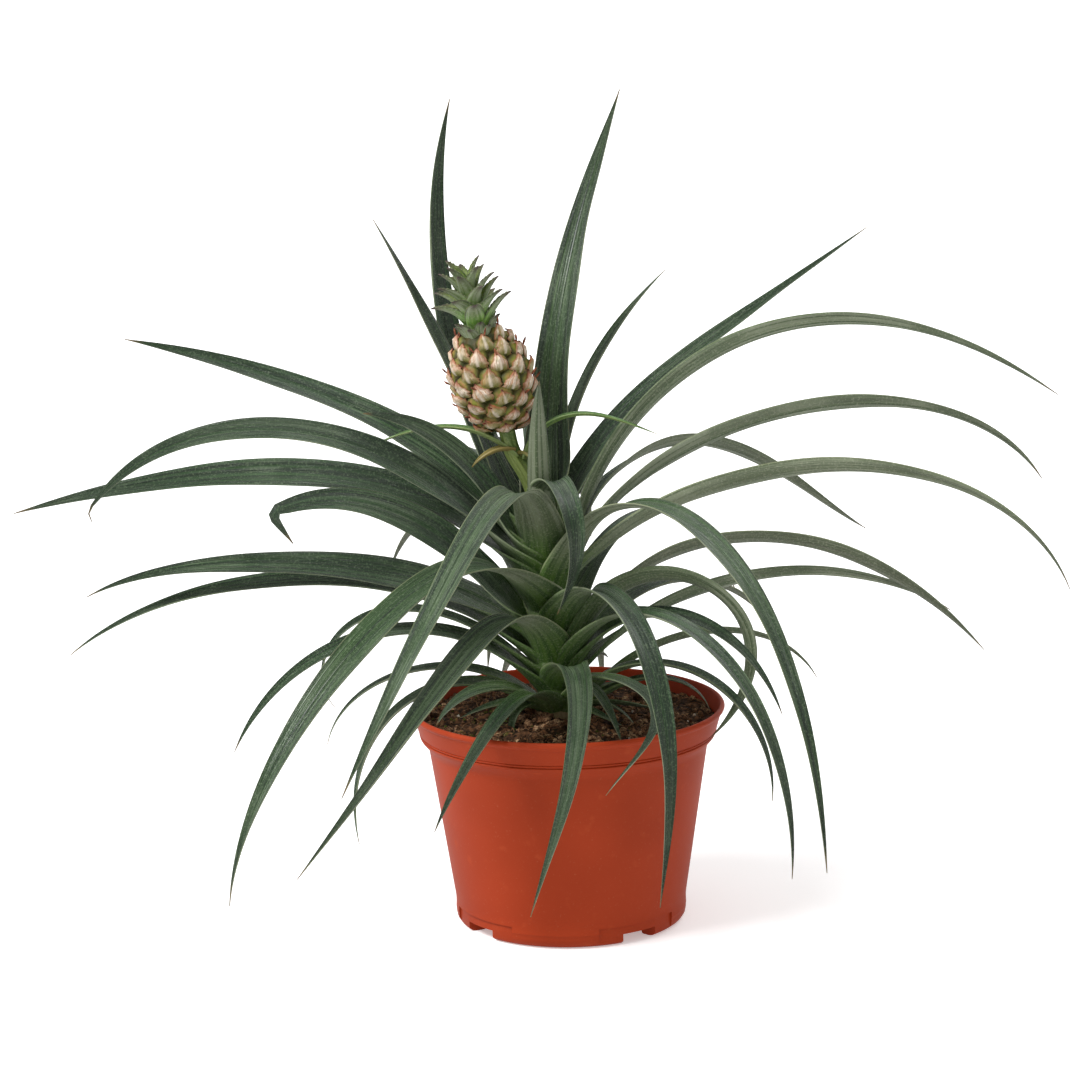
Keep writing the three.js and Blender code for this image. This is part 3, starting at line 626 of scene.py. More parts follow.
def buildSoil():
    heap = Heap()
    edge = soilEdge()
    around, rings = soil["around"], soil["rings"]
    angles = circle(around)
    bottom = pot["step"] + pot["floor"] + soil["gap"]
    inside = pot["wall"] + soil["gap"]
    walls = [
        (pot["foot"] - pot["wall"] - 1, bottom),
        (pot["bodyLow"] - inside, pot["bodyLowHeight"] + soil["gap"]),
        (pot["bodyTop"] - inside, pot["bodyTopHeight"]),
        (pot["bandLow"] - inside, pot["bandLowHeight"] + soil["gap"]),
    ]
    points = [(*polar(radius, a), height) for radius, height in walls for a in angles]
    for share in np.linspace(1, 0.02, rings):
        for a in angles:
            x, y = polar(edge * share, a)
            points.append((x, y, soilTop(x, y)))
    points = np.array(points)
    smoothTop = soilHeight(points[:, 0], points[:, 1]) + soilHeap(points[:, 0], points[:, 1])
    relief = (points[:, 2] - smoothTop) / soil["rough"]
    # the ground's tone is its height over the smooth form, which the peat material turns into painted light
    # on the crests and painted shade in the gaps
    heap.add(points * mm, ringFaces(len(walls) + rings, around), tone=smooth(relief, -0.9, 0.7))
    keep(heap.piece("soil_ground", [soilMaterial]), "soil", "soil")
    random = np.random.default_rng(31)
    crumbs = Heap()
    for k in range(soil["crumbs"]):
        size = 0.5 + 2.3 * random.uniform() ** 4
        x, y = spotOnSoil(random, edge - size - 1)
        squash = (random.uniform(0.45, 1), random.uniform(0.35, 0.8))
        crumbs.add(lumpAt(random, x, y, size, squash, 0.15), ballFaces, tone=random.uniform() ** 0.6)
    for k in range(soil["lumps"]):  # larger lumps are heaped round the foot of the stem
        angle, radius = random.uniform(0, 6.28), random.uniform(11, 27)
        x, y = polar(radius, angle)
        x += soil["stemAt"]
        size = random.uniform(1.1, 3.0)
        squash = (random.uniform(0.6, 1), random.uniform(0.5, 0.9))
        crumbs.add(lumpAt(random, x, y, size, squash, 0.25), ballFaces, tone=random.uniform(0.3, 1))
    keep(crumbs.piece("soil_crumbs", [crumbMaterial], sharp=50), "soil")
    threads = Heap()
    for k in range(soil["fibres"]):
        x, y = spotOnSoil(random, edge - 3)
        heading, bendAngle = random.uniform(0, 6.28), random.uniform(-1.6, 1.6)
        reach = random.uniform(3, 11)
        path = []
        for t in np.linspace(0, 1, 7):
            path.append((x, y, soilTop(x, y) + 0.25 + 1.5 * math.sin(math.pi * t) * random.uniform(0.2, 0.6)))
            x += reach / 6 * math.cos(heading + bendAngle * t)
            y += reach / 6 * math.sin(heading + bendAngle * t)
            if math.hypot(x, y) > edge - 1.5:
                break
        if len(path) > 3:
            thread = tube(path, np.linspace(0.16, 0.06, len(path)) * random.uniform(0.7, 1.5), 5)
            threads.add(thread[0] * mm, thread[1], tone=random.uniform())
    keep(threads.piece("soil_fibres", [fibreMaterial]), "soil")
    specks = Heap()
    for k in range(soil["grits"]):
        size = random.uniform(0.35, 0.95)
        x, y = spotOnSoil(random, edge - 3)
        specks.add(lumpAt(random, x, y, size, (0.8, 0.7), 0.5), ballFaces, tone=random.uniform())
    for k in range(soil["mossTufts"]):
        angle = random.choice([2.5, 3.3, 5.1]) + random.normal() * 0.35
        x, y = polar(edge * random.uniform(0.35, 0.95), angle)
        size = random.uniform(0.5, 1.2)
        specks.add(lumpAt(random, x, y, size, (0.9, 0.5), 0.3), ballFaces, 1, tone=random.uniform())
    keep(specks.piece("soil_grit_and_moss", [gritMaterial, mossMaterial], sharp=50), "soil")
    print("soil made")


buildSoil()


stem = {
    "foot": (-3, 0, 100), "head": (-12, 0, 220), "bottom": 92, "top": 222, "rings": 40, "sides": 40,
    "girth": 8.6, "swell": 2.6, "swellAt": (104, 135), "narrowing": 6, "narrowAt": (185, 222), "ridge": 0.7,
}
blade = {
    "root": 8, "gutter": 0.5, "crease": 0.2, "centred": 0.15, "thick": 0.95, "thickBase": 2.4, "edge": 0.34,
    "rollReach": 0.3, "foldReach": 8, "flare": 0.5, "flareReach": 62, "wrapReach": 46, "pleat": 0.16,
    "ripple": 0.45, "rings": 70, "columns": 17, "taper": 3, "tip": 0.012, "sheath": 15, "dive": 0.3,
    "spacing": 1.12, "wobble": 4, "wobbleWave": 26, "pleatWaves": (8.5, 17), "rippleWaves": (13, 15),
}

# name, way it faces, height of its root, (length, width), bend, (turn, roll), creased tip (length,
# pitch) and the power of its taper where it isn't the usual one
leafRows = [
    ("front_folded", -76, 211, (115, 14), (90, -15, -135, -115), (45, 0)),
    ("top_right", 64, 201, (240, 26), (90, 85, 40, 50), (0, 0), None, 1.6),
    ("top_left", 137, 198, (235, 20), (50, 60, 90, 110), (5, 0)),
    ("right_raised", 22, 196, (235, 17), (80, 20, 30, 30), (0, 20), None, 1.6),
    ("slim_right", 51, 196, (165, 12), (90, 65, 30, 30), (-5, -20)),
    ("front_upright", -96, 195, (95, 13.5), (80, 75, 70, 60), (15, 0)),
    ("slim_left", 149, 192, (185, 15.5), (65, 65, 60, 60), (15, 0)),
    ("back_1", 95, 189, (190, 14), (75, 40, 0, -45), (0, 0)),
    ("front_tall", -102, 184, (295, 19), (80, -35, -40, -60), (-45, 0)),
    ("left_high", 160, 185, (250, 19), (65, 13, 18, 10), (10, -35)),
    ("right_long_1", -2, 181, (320, 15), (75, 55, -20, -35), (-5, -42)),
    ("left_upright", -165, 181, (128, 18), (70, 65, 40, 5), (0, -50)),
    ("right_long_2", 4, 180, (290, 15), (65, 5, 20, -60), (5, -42)),
    ("left_arch", -166, 177, (258, 19), (57, 32, 11, -52), (-12, -40), (11, -110)),
    ("right_back", 44, 176, (265, 14), (75, 0, -50, -30), (-10, -30)),
    ("right_long_3", -14, 175, (295, 15), (50, 5, 15, -70), (-5, -42)),
    ("left_long", 180, 170, (285, 20), (65, -5, -5, -15), (0, -40)),
    ("back_2", 118, 168, (220, 14), (70, 20, -20, -60), (0, 0)),
    ("right_arch", -52, 167, (325, 17), (80, -20, -70, -85), (0, 0), None, 2.2),
    ("front_sweep", -123, 160, (305, 21), (60, -40, -30, -85), (-40, -10)),
    ("back_3", 82, 160, (200, 14), (65, 20, -20, -65), (0, 0)),
    ("back_5", 124, 150, (180, 13), (65, 20, -20, -60), (0, 0)),
    ("front_big", -64, 146, (246, 19), (75, -35, -110, -100), (10, 0), None, 1.7),
    ("back_6", 55, 145, (210, 13), (65, 15, -25, -70), (0, 0)),
    ("left_folded", -156, 143, (170, 23), (60, 45, 35, -15), (0, -45), (24, -124), 3.2),
    ("left_flat", -176, 143, (245, 21), (50, -10, 15, -30), (-20, -40), None, 2),
    ("right_long_4", 14, 142, (260, 14), (60, 0, -30, -50), (-5, -42)),
    ("back_4", 97, 140, (230, 15), (60, 10, -30, -75), (0, 0)),
    ("right_hook", -24, 134, (190, 13), (75, 40, -85, -150), (60, -45)),
    ("back_9", 136, 130, (150, 12), (70, 30, -30, -70), (0, 0)),
    ("left_low", 178, 133, (260, 15), (50, -5, 0, -40), (0, -25)),
    ("front_low", -113, 132, (250, 18.5), (75, -50, -40, -50), (-55, 0)),
    ("right_low", -42, 131, (238, 13), (70, -25, -65, -95), (0, 5), None, 2.2),
    ("left_hook", -164, 128, (160, 9), (45, 35, 5, -135), (-20, -15)),
    ("right_narrow", -22, 127, (150, 10), (70, 15, -40, -70), (-5, 25)),
    ("back_10", 38, 127, (190, 12), (60, 5, -30, -70), (0, 0)),
    ("right_long_5", 17, 126, (225, 11), (45, 10, -5, -35), (0, -48)),
    ("front_hook", -49, 125, (156, 8.5), (25, -20, 5, -52), (-115, 0), None, 2),
    ("back_7", 104, 124, (190, 12), (60, 0, -35, -75), (0, 0)),
    ("front_strap", -81, 122, (221, 16), (50, -35, -30, -65), (-53, 0), None, 1.9),
    ("back_8", 80, 120, (180, 12), (55, 0, -40, -80), (0, 0)),
    ("left_behind", -164, 119, (195, 12), (55, 10, -25, -65), (5, -25)),
    ("right_rim", -22, 113, (155, 11), (55, 0, -50, -95), (-5, 0)),
    ("left_thin", -174, 111, (135, 8), (50, 0, -10, -80), (-10, -15)),
    ("back_12", 70, 111, (75, 9), (50, 10, -10, -30), (0, 0)),
    ("right_thin", 7, 110, (145, 8), (50, 20, 5, -65), (-5, -40)),
    ("back_11", 108, 110, (110, 9), (50, 5, -30, -60), (0, 0)),
    ("front_short", -113, 109, (140, 12), (55, -25, -35, -60), (-30, 0)),
    ("right_inner", -9, 109, (80, 8), (40, 25, 5, -75), (0, 0)),
    ("left_rim", -178, 108, (160, 9), (45, -10, -75, -100), (0, -20)),
    ("left_on_soil", -144, 108, (78, 12), (55, 20, -5, -60), (-10, -15)),
    ("front_small", -70, 108, (85, 9), (65, 25, -30, -60), (10, 0)),
]

shootRows = [  # small leaves at the foot of the stem, in the same order but without a name
    (-142, 109, (46, 6), (48, 10, -70, -170), (35, 0)),
    (-38, 110, (46, 5), (40, 10, -25, -30), (-20, -20)),
    (-22, 109, (52, 5), (35, 0, -20, -10), (25, -30)),
    (-55, 109, (40, 5), (35, 5, -30, -15), (30, 10)),
    (-160, 109, (48, 6), (35, 15, -30, -25), (-25, -20)),
    (25, 110, (50, 6), (45, 10, -25, -20), (20, -10)),
    (150, 110, (48, 6), (45, 10, -25, -20), (-20, 10)),
]

drySheaths = [  # withered remains round the foot of the stem: way they face, root, (length, width), bend
    (-92, 105, (15, 13), (86, 82, 74, 60)), (-48, 106, (13, 12), (86, 80, 76, 70)),
    (-135, 105, (12, 12), (88, 84, 78, 62)), (-5, 106, (14, 12), (86, 82, 70, 60)),
    (175, 106, (13, 12), (88, 80, 74, 66)), (60, 106, (14, 13), (86, 82, 74, 60)),
    (115, 105, (13, 12), (88, 84, 76, 64)),
]


def stemAt(height):
    foot, head = np.array(stem["foot"], float), np.array(stem["head"], float)
    return foot + (head - foot) * (height - foot[2]) / (head[2] - foot[2])


def bezier(t, bend):
    a, b, c, d = bend
    return (1 - t) ** 3 * a + 3 * t * (1 - t) ** 2 * b + 3 * t * t * (1 - t) * c + t ** 3 * d


def ways(pitch, yaw):  # the unit vector along a midrib, and the level one across it
    along = np.stack([np.cos(pitch) * np.cos(yaw), np.cos(pitch) * np.sin(yaw), np.sin(pitch)], 1)
    return along, np.stack([-np.sin(yaw), np.cos(yaw), np.zeros_like(yaw)], 1)


def laid(spine, side, up, x, z):  # points x across the midrib and z over it
    return spine[:, None, :] + side[:, None, :] * x[:, :, None] + up[:, None, :] * z[:, :, None]


def bothSides(spans):  # place across the blade and face, for a ring over the top and back under it
    under = len(spans) - 2
    return (np.concatenate([spans, spans[1:-1][::-1]]),
            np.concatenate([[0.5], np.ones(under), [0.5], np.zeros(under)]))


def headings(distance, row):
    length, fold = row["length"], row["fold"]
    t = np.minimum(1, distance / length)
    pitch = bezier(t, row["bend"])
    if fold:
        creased = smooth(distance, length, length + blade["foldReach"])
        pitch = pitch * (1 - creased) + fold[1] * creased
    pitch, yaw = np.radians(pitch), np.radians(row["facing"] + row["turn"] * t * t)
    return (*ways(pitch, yaw), t)


def midrib(row, distance):  # the walk of the leaf in even strides, then smoothed between them
    whole = row["length"] + (row["fold"][0] if row["fold"] else 0)
    strides = 6 * (11 if row["length"] > 150 else 8)
    knots = np.arange(strides + 1) / strides * whole
    along = headings(knots, row)[0]
    stride = whole / strides
    walked = np.concatenate([[row["start"]], row["start"] + np.cumsum(along[:-1] * stride, 0)])
    slot = np.minimum((distance / stride).astype(int), strides - 1)
    t = (distance / stride - slot)[:, None]
    first, last = walked[slot], walked[slot + 1]
    slopeFirst, slopeLast = along[slot] * stride, along[slot + 1] * stride
    return ((2 * t ** 3 - 3 * t ** 2 + 1) * first + (t ** 3 - 2 * t ** 2 + t) * slopeFirst
            + (3 * t ** 2 - 2 * t ** 3) * last + (t ** 3 - t ** 2) * slopeLast)


def leafRow(name, facing, root, size, bend, sway, fold=None, taper=None, start=None):
    outward = np.array([math.cos(math.radians(facing)), math.sin(math.radians(facing)), 0])
    if start is None:
        start = stemAt(root) + blade["root"] * outward
    return {
        "name": name, "facing": facing, "root": root, "length": size[0], "width": size[1], "bend": bend,
        "turn": sway[0], "roll": sway[1], "fold": fold, "taper": taper or blade["taper"],
        "start": np.array(start, float), "outward": outward,
    }


def sheathSpine(row, spine, below):  # below its root a leaf's base runs down the stem and in under the others
    down = stemAt(row["root"]) - stemAt(row["root"] + 1)
    lowest = row["start"] + below[:, None] * (down - blade["dive"] * row["outward"])
    return np.concatenate([lowest, spine])


def addLeaf(heap, row, random, rings=None, clasp=True, freshReach=30.0, fine=1.0, withered=0.0):
    rings = rings or blade["rings"]
    whole = row["length"] + (row["fold"][0] if row["fold"] else 0)
    share = np.linspace(0, 1, rings) ** blade["spacing"]
    distance = share * whole
    spine = midrib(row, distance)
    if clasp:
        below = np.linspace(blade["sheath"], blade["sheath"] / 4, 4)
        spine = sheathSpine(row, spine, below)
        distance = np.concatenate([-below, distance])
        share = np.concatenate([below * 0, share])
        rings = len(share)
    along, side, t = headings(np.maximum(distance, 0), row)
    phase = random.uniform(0, 6.28, 6)
    wobble = blade["wobble"] * np.sin(distance / blade["wobbleWave"] + phase[0]) * smooth(distance, 30, 90)
    roll = np.radians(row["roll"] * smooth(t, 0, blade["rollReach"]) + wobble)[:, None]
    lifted = np.cross(along, side)
    side = side * np.cos(roll) + lifted * np.sin(roll)
    up = np.cross(along, side)
    half = row["width"] / 2 * np.maximum(1 - share ** row["taper"], blade["tip"]) * 1.03
    axis = np.array([stemAt(z) for z in spine[:, 2]])
    outFromStem = np.linalg.norm((spine - axis)[:, :2], axis=1)
    short = min(1, row["length"] / 180)
    wrapped = distance * 0
    if clasp:
        half = half * (1 + blade["flare"] * (1 - smooth(distance, 4, blade["flareReach"] * short)))
        wrapped = 1 - smooth(distance, 8, blade["wrapReach"] * short)
    gutter = blade["gutter"] * random.uniform(0.8, 1.3)
    curve = gutter / np.maximum(half, 0.4) * (1 - wrapped) + wrapped / np.maximum(outFromStem, 9)
    spans = np.concatenate([[-1], np.linspace(-0.94, 0.94, blade["columns"]), [1]])
    turnAngle = np.clip(half * curve, 0.05, 1.9)
    radius = half / turnAngle
    angle = spans[None, :] * turnAngle[:, None]
    thick = blade["thick"] + (blade["thickBase"] - blade["thick"]) * (1 - smooth(distance, 5, 50))
    thick = thick * fine * (0.35 + 0.65 * (1 - smooth(share, 0.55, 1)))
    depth = blade["edge"] * fine + (thick[:, None] - blade["edge"] * fine) * np.sqrt(1 - 0.94 * spans ** 2)
    fade = (smooth(distance, 8, 40) * (1 - smooth(share, 0.6, 0.95)))[:, None] * row["width"] / 16
    wide, narrow = blade["pleatWaves"]
    waves = np.cos(spans * wide + phase[1]) + 0.7 * np.cos(spans * narrow + phase[2])
    pleat = blade["pleat"] * waves * fade
    left = np.sin(distance / blade["rippleWaves"][0] + phase[3])[:, None] * (spans < 0)
    right = np.sin(distance / blade["rippleWaves"][1] + phase[4])[:, None] * (spans > 0)
    ripple = blade["ripple"] * fade * np.abs(spans) ** 3 * (left + right)
    fold = np.sqrt(spans ** 2 + 0.002) - 0.5 * spans ** 2
    creased = blade["crease"] * half[:, None] * fold * (1 - wrapped)[:, None]
    settled = (blade["centred"] * half * (1 - wrapped))[:, None]
    across = radius[:, None] * np.sin(angle)
    rise = radius[:, None] * (1 - np.cos(angle)) - settled
    faceAcross, faceUp = -np.sin(angle), np.cos(angle)

    def skin(lift):
        return laid(spine, side, up, across + faceAcross * lift, rise + faceUp * lift)

    upperLift = pleat + ripple + creased
    points = np.concatenate([skin(upperLift), skin(upperLift - depth)[:, 1:-1][:, ::-1]], 1)
    around = points.shape[1]
    spanField, faceField = bothSides(spans)
    fresh = distance * 0
    if freshReach:
        fresh = 1 - smooth(distance, freshReach * 0.25, freshReach * 1.6)
    heap.add(
        points * mm, ringFaces(rings, around),
        span=np.tile(spanField, rings), face=np.tile(faceField, rings), tone=random.uniform(),
        run=np.repeat(distance, around) * mm, fresh=np.repeat(fresh, around),
        tip=np.repeat(np.maximum(share, withered), around),
    )


def buildLeaves():
    random = np.random.default_rng(5)
    for entry in leafRows:
        row = leafRow(*entry)
        heap = Heap()
        low = 1 - (row["root"] - 108) / 100
        addLeaf(heap, row, random, freshReach=16 + 26 * low)
        keep(heap.piece(f"blade_{row['name']}", [leafMaterial]), "leaf", f"leaf_{row['name']}")
    shoots = Heap()
    for entry in shootRows:
        addLeaf(shoots, leafRow("", *entry), random, rings=36, freshReach=26, fine=0.7)
    for entry in drySheaths:
        row = leafRow("", *entry, (0, 0))
        row["start"] = row["start"] + 1.4 * row["outward"]
        addLeaf(shoots, row, random, rings=24, freshReach=0, fine=0.6, withered=0.984)
    keep(shoots.piece("small_shoots", [leafMaterial]), "leaf")
    print(len(leafRows), "leaves made")


buildLeaves()


def buildStem():
    heap = Heap()
    heights = np.linspace(stem["bottom"], stem["top"], stem["rings"])
    sides = stem["sides"]
    points = []
    for height in heights:
        centre = stemAt(height)
        girth = stem["girth"] + stem["swell"] * smooth(height, *stem["swellAt"])
        girth -= stem["narrowing"] * smooth(height, *stem["narrowAt"])
        for angle in circle(sides):
            ridge = stem["ridge"] * abs(math.sin(angle * 2.5 + height * 0.045)) - 0.3
            x, y = polar(girth + ridge, angle)
            points.append((centre[0] + x, centre[1] + y, height))
    points = np.array(points)
    turn = np.tile(np.arange(sides) / sides * 6 - 3, len(heights))
    heap.add(
        points * mm, ringFaces(len(heights), sides),
        span=turn * 0.1, face=0.0, tone=0.3, run=points[:, 2] * mm,
        tip=0.985 - 0.06 * smooth(points[:, 2], 108, 122),
        fresh=0.75 - 0.4 * smooth(points[:, 2], 130, 200),
    )
    keep(heap.piece("stem_core", [leafMaterial]), "stem", "stem")
    print("stem made")


buildStem()


stalk = {
    "path": [(-13, 0, 216), (-18, -1, 230), (-25.1, -1.5, 242.9), (-27.9, -1.5, 254.1)], "radius": 3.9,
    "ribs": 9, "ribDepth": 0.09, "sides": 36,
}
stalkLeaves = [  # start, way it faces, (length, width), bend and how far it has withered
    ((-22, -2, 241), 178, (84, 8), (46, 12, -24, -24), 0),
    ((-19, -4, 240), -11, (80, 7), (80, 15, -32, -18), 0),
    ((-21, -3, 243), -45, (26, 5), (30, -60, -85, -80), 0.975),
    ((-24, -3, 245), -158, (26, 5), (20, -10, -35, -50), 0.98),
]


def throughPoints(points, steps):  # a smooth line through a few points
    points = np.array(points, float)
    padded = np.concatenate([[2 * points[0] - points[1]], points, [2 * points[-1] - points[-2]]])
    line = []
    for k in range(1, len(padded) - 2):
        a, b, c, d = padded[k - 1:k + 3]
        for t in np.arange(steps) / steps:
            line.append(0.5 * (2 * b + (c - a) * t + (2 * a - 5 * b + 4 * c - d) * t * t
                               + (3 * b - a - 3 * c + d) * t ** 3))
    line.append(padded[-2])
    return np.array(line)


def buildStalk():
    random = np.random.default_rng(17)
    heap = Heap()
    path = throughPoints(stalk["path"], 8)
    sides = stalk["sides"]
    shape, faces = tube(path, [stalk["radius"]] * len(path), sides, stalk["ribs"], stalk["ribDepth"])
    turn = np.tile(np.arange(sides) / sides * 2 - 1, len(path))
    heap.add(shape * mm, faces, span=turn * 0.9, face=0.0, tone=0.2,
             run=np.repeat(np.arange(len(path)) * 1.5, sides) * mm, tip=0.0, fresh=0.45)
    for start, facing, size, bend, withered in stalkLeaves:
        row = leafRow("", facing, 0, size, bend, (0, 0), start=start)
        addLeaf(heap, row, random, rings=40, clasp=False, freshReach=0, fine=0.8, withered=withered)
    keep(heap.piece("stalk_and_bracts", [bractMaterial]), "stalk", "fruit_stalk")
    print("stalk made")


buildStalk()


fruit = {
    "base": (-28, -1.5, 254.5), "lean": 14, "length": 51, "radius": 17.7, "eyes": 62, "eyeSize": 5.95,
    "eyeHeight": 2.5, "turn": 137.508, "firstEye": 0.035, "lastEye": 0.965, "bractLift": 0.4,
    "stubShare": 0.6, "eyeSides": 24, "eyeLevels": (1.12, 1.04, 0.97, 0.88, 0.75, 0.58, 0.4, 0.2, 0.03),
    "shieldAt": (0, 0.1, 0.26, 0.46, 0.66, 0.84, 1), "shieldWidth": (0.6, 0.92, 1.0, 0.82, 0.52, 0.24, 0.02),
    "stubThick": (0.6, 0.48, 0.4, 0.42, 0.56, 0.45, 0.12),
}


def fruitRadius(t):
    return fruit["radius"] * math.sin(math.pi * (0.07 + 0.83 * min(max(t, 0), 1))) ** 0.72


def onFruit(points):  # from the fruit's own upright frame to the plant's
    lean = math.radians(fruit["lean"])
    points = np.asarray(points, float).reshape(-1, 3)
    turned = points.copy()
    turned[:, 0] = points[:, 0] * math.cos(lean) - points[:, 2] * math.sin(lean)
    turned[:, 2] = points[:, 0] * math.sin(lean) + points[:, 2] * math.cos(lean)
    return (turned + np.array(fruit["base"])) * mm


def eyeSwell(x, y, size):  # height of an eye's cushion over its own middle plane
    rho = np.minimum(np.hypot(x, y) / size, 1.0)
    dome = fruit["eyeHeight"] * (1 - rho ** 2.6)
    beak = 1.1 * np.exp(-((x / (0.28 * size)) ** 2 + ((y - 0.22 * size) / (0.3 * size)) ** 2))
    return dome + beak


def addEye(heap, t, angle, random):
    size = fruit["eyeSize"] * (0.74 + 0.26 * math.sin(math.pi * t)) * random.uniform(0.96, 1.04)
    radius = fruitRadius(t)
    slope = (fruitRadius(t + 0.02) - fruitRadius(t - 0.02)) / (0.04 * fruit["length"])
    out = np.array([math.cos(angle), math.sin(angle), -slope])
    out /= np.linalg.norm(out)
    across = np.array([-math.sin(angle), math.cos(angle), 0])
    up = np.cross(out, across)
    centre = np.array([*polar(radius, angle), t * fruit["length"]])
    shade = random.uniform()

    def lay(x, y, height):
        return (centre + np.multiply.outer(x, across) + np.multiply.outer(y, up)
                + np.multiply.outer(height, out))

    phi = circle(fruit["eyeSides"])
    hexagon = math.cos(math.pi / 6) / np.cos((phi + math.pi / 6) % (math.pi / 3) - math.pi / 6)
    points, rise = [], []
    for level in fruit["eyeLevels"]:
        reach = size * level * (0.45 + 0.55 * hexagon * 1.06)
        x, y = reach * np.cos(phi), reach * np.sin(phi)
        height = eyeSwell(x, y, size) - 2.6 * max(0, level - 0.9) / 0.22
        points.append(lay(x, y, height))
        rise.append(np.full(len(phi), min(1, (1.05 - level) * 1.5)))
    heap.add(onFruit(np.concatenate(points)), ringFaces(len(points), len(phi)),
             rise=np.concatenate(rise), tone=shade)
    # the papery bract lies up the cushion and ends in a free point
    rows, columns = 17, 11
    v = np.linspace(0, 1, rows)
    u = np.linspace(-1, 1, columns)
    halfWidth = size * np.interp(v, fruit["shieldAt"], fruit["shieldWidth"])
    ragged = random.uniform(0.86, 1.08) + 0.09 * random.normal(size=rows)
    x = np.outer(halfWidth * ragged, u)
    reach = size * (random.uniform(1.75, 2.1) * v - 1)
    y = np.outer(reach, np.ones(columns)) + 0.16 * size * (1 - np.abs(u)) * (1 - v)[:, None]
    free = smooth(v, 0.5, 1.0)[:, None]
    crinkle = 0.2 * np.cos(u * 9 + 6 * shade)[None, :] * v[:, None]
    crinkle = crinkle + 0.13 * random.normal(size=(rows, columns))
    keel = 1.15 * (1 - np.abs(u))[None, :] * np.sin(math.pi * v)[:, None]
    height = eyeSwell(x, y, size) * (1 - 0.5 * free) + fruit["bractLift"] + crinkle + keel
    height = height + free * (fruit["eyeHeight"] * 0.6 + random.uniform(0.1, 1.9))
    height[0] -= 1.4
    skew = random.normal() * 0.17
    x, y = x * math.cos(skew) - y * math.sin(skew), x * math.sin(skew) + y * math.cos(skew)
    upper = lay(x.ravel(), y.ravel(), height.ravel()).reshape(rows, columns, 3)
    lower = lay(x.ravel(), y.ravel(), (height - 0.32).ravel()).reshape(rows, columns, 3)
    around = 2 * columns
    heap.add(onFruit(np.concatenate([upper, lower[:, ::-1]], 1)), ringFaces(rows, around), 1,
             span=np.tile(np.concatenate([u, u[::-1]]), rows), run=np.repeat(v * size * 1.8, around) * mm,
             tip=np.repeat(v, around), tone=shade)
    # some eyes still hold their dried flower
    if t > 0.12 and random.uniform() < fruit["stubShare"]:
        lean = random.uniform(-0.7, 0.7)
        start = lay(np.array([0.0]), np.array([size * 0.35]), np.array([fruit["eyeHeight"]]))[0]
        way = out * random.uniform(0.7, 1.2) + up * random.uniform(0.4, 0.9) + across * lean
        way /= np.linalg.norm(way)
        bow = up * 1.4 + across * lean
        steps = np.linspace(0, 1, len(fruit["stubThick"]))
        path = np.array([start + way * s * random.uniform(4.6, 5.4) + bow * s * s for s in steps])
        thick = np.array(fruit["stubThick"]) * random.uniform(0.8, 1.1)
        stub = tube(path, thick, 7, 3, 0.25)
        heap.add(onFruit(stub[0]), stub[1], 2, tone=shade)


def buildFruit():
    random = np.random.default_rng(9)
    heap = Heap()
    outline = [(0.0, -0.2)]
    for t in np.linspace(0, 1, 24):
        outline.append((fruitRadius(t) - 0.3, t * fruit["length"]))
    outline.append((0.0, fruit["length"] + 0.2))
    points, faces = lathe(np.array(outline), 72)
    heap.add(onFruit(points), faces, rise=0.0, tone=0.5)
    for k in range(fruit["eyes"]):
        t = fruit["firstEye"] + (fruit["lastEye"] - fruit["firstEye"]) * (k + 0.5) / fruit["eyes"]
        addEye(heap, t, math.radians(k * fruit["turn"]), random)
    keep(heap.piece("fruit_with_eyes", [eyeMaterial, paperMaterial, stubMaterial]), "fruit", "fruit")
    print("fruit made")


buildFruit()


crown = {
    "leaves": 23, "length": 22.5, "width": 12.3, "pitchLow": 49, "pitchHigh": 77, "curl": 34, "rise": 19.5,
    "core": [(0, 0), (6, 0), (5.5, 5), (4, 14), (0, 21)], "teeth": 9, "tooth": 0.4, "shoulder": 13,
    "rings": 22, "columns": 9, "cup": 0.95,
}


